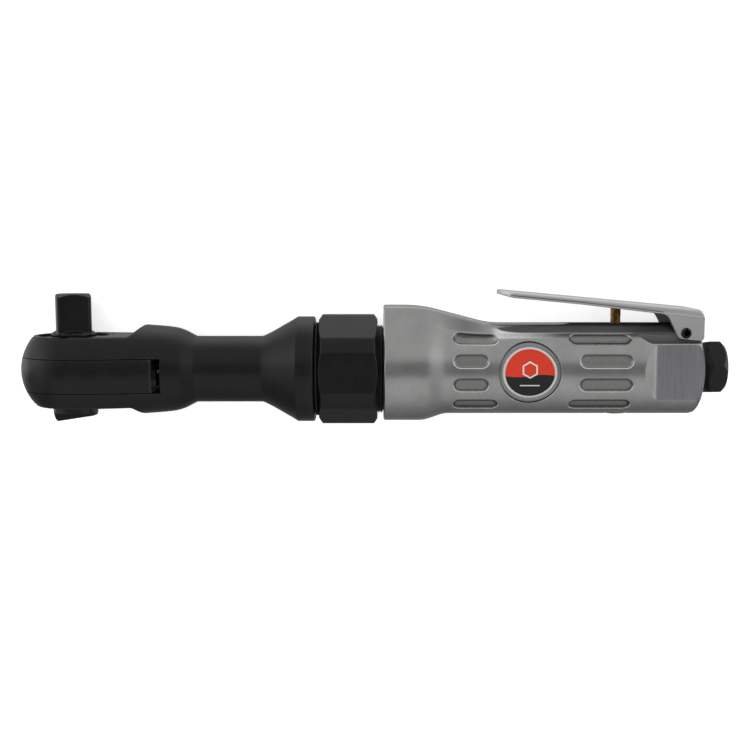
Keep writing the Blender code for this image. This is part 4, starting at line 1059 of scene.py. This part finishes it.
# ---- floor, light and camera
def build_floor():
    """A pale floor under the tool, seen by the camera only, so that it doesn't glare in the metal."""
    mesh = bpy.data.meshes.new("studio_floor")
    corners = [(x, y, FLOOR_Z) for x, y in ((-3, -3), (3, -3), (3, 3), (-3, 3))]
    mesh.from_pydata(corners, [], [(0, 1, 2, 3)])
    floor = placed("studio_floor", mesh)
    n = Nodes("floor_paper", Emission_Color=(1.0, 1.0, 1.0), Emission_Strength=0.55)
    mesh.materials.append(n.finish((0.9, 0.9, 0.9), 0.9))
    floor.visible_glossy = floor.visible_shadow = floor.visible_diffuse = False


# Brightness of the studio by the angle round the tool, from the zenith towards the drive's side.
SKY = ((-180, 0.36), (-162, 0.32), (-146, 0.2), (-126, 0.15), (-112, 0.2), (-96, 0.25), (-84, 0.34),
       (-70, 0.42), (-48, 0.5), (-21, 0.5), (-15, 0.43), (-10.5, 0.21), (17.5, 0.2), (22, 0.4),
       (30, 0.48), (60, 0.48), (84, 0.5), (95, 0.7), (106, 0.95), (126, 0.95), (142, 0.52),
       (156, 0.36), (180, 0.36))
# The same for what lies ahead of the tool and behind it.
ENDS = ((-180, 0.7), (-150, 0.15), (-118, 0.13), (-58, 0.26), (-24, 0.4), (4, 0.42), (24, 0.62),
        (46, 0.72), (80, 0.6), (115, 0.5), (150, 0.45), (180, 0.7))


def build_world():
    """A studio painted by direction: two long softboxes with a dark gap over the tool."""
    world = bpy.data.worlds.new("studio")
    bpy.context.scene.world = world
    world.use_nodes = True
    n = Tree(world.node_tree)
    n.tree.nodes.clear()
    x, y, z = n.split(n.new("ShaderNodeTexCoord").outputs["Generated"])
    turn = n.span(n.maths("ARCTAN2", y, z), 0, 1, -math.pi, math.pi)
    end = n.maths("ABSOLUTE", x)

    def ramp(levels):
        node = n.new("ShaderNodeValToRGB")
        stops = node.color_ramp.elements
        while len(stops) < len(levels):
            stops.new(0.5)
        for stop, (degrees, level) in zip(stops, levels):
            stop.position = (degrees + 180) / 360
            stop.color = (level, level, level * 1.01, 1)
        n.feed(node.inputs[0], turn)
        return node.outputs[0]

    def near_end(low, high):
        return n.span(end, 0, 1, low, high, interpolation_type="SMOOTHSTEP")

    lit = n.new("ShaderNodeVectorMath", operation="SCALE")
    n.feed(lit.inputs[0], n.mix(near_end(0.48, 0.66), ramp(SKY), ramp(ENDS)))
    n.feed(lit.inputs["Scale"], n.maths("MULTIPLY_ADD", near_end(0.72, 0.9), 0.6, 1.0))
    for_camera = n.new("ShaderNodeLightPath").outputs["Is Camera Ray"]
    shade = n.new("ShaderNodeBackground")
    n.feed(shade.inputs[0], n.mix(for_camera, lit.outputs[0], (0.94, 0.94, 0.945)))
    n.feed(n.new("ShaderNodeOutputWorld").inputs[0], shade.outputs[0])


def build_lights():
    """A soft overhead fill for the matt surfaces, kept out of the reflections."""
    fill = bpy.data.lights.new("fill", "SUN")
    fill.energy = 1.5
    fill.angle = math.radians(40)
    sun = placed("fill", fill)
    facing = Vector((0.11, AXIS_Y, 0)) - Vector((0.1, 0.05, 1.0))
    sun.rotation_euler = facing.to_track_quat("-Z", "Y").to_euler()
    sun.visible_glossy = False


def build_camera():
    """The photograph's view: straight down on the tool, leaning a little to the drive's side."""
    lean = math.radians(6.3)
    distance, width = 0.44, 0.285497      # metres to the tool axis, and shown across there
    x, y = 0.11415, AXIS_Y - 0.00243
    data = bpy.data.cameras.new("camera")
    data.sensor_width = 36.0
    data.lens = data.sensor_width * distance / width
    camera = placed("camera", data)
    camera.location = (x, y + distance * math.sin(lean), distance * math.cos(lean))
    camera.rotation_euler = (-lean, 0, 0)
    bpy.context.scene.camera = camera


build_floor()
build_world()
build_lights()
build_camera()
bpy.context.scene.view_settings.view_transform = "Standard"
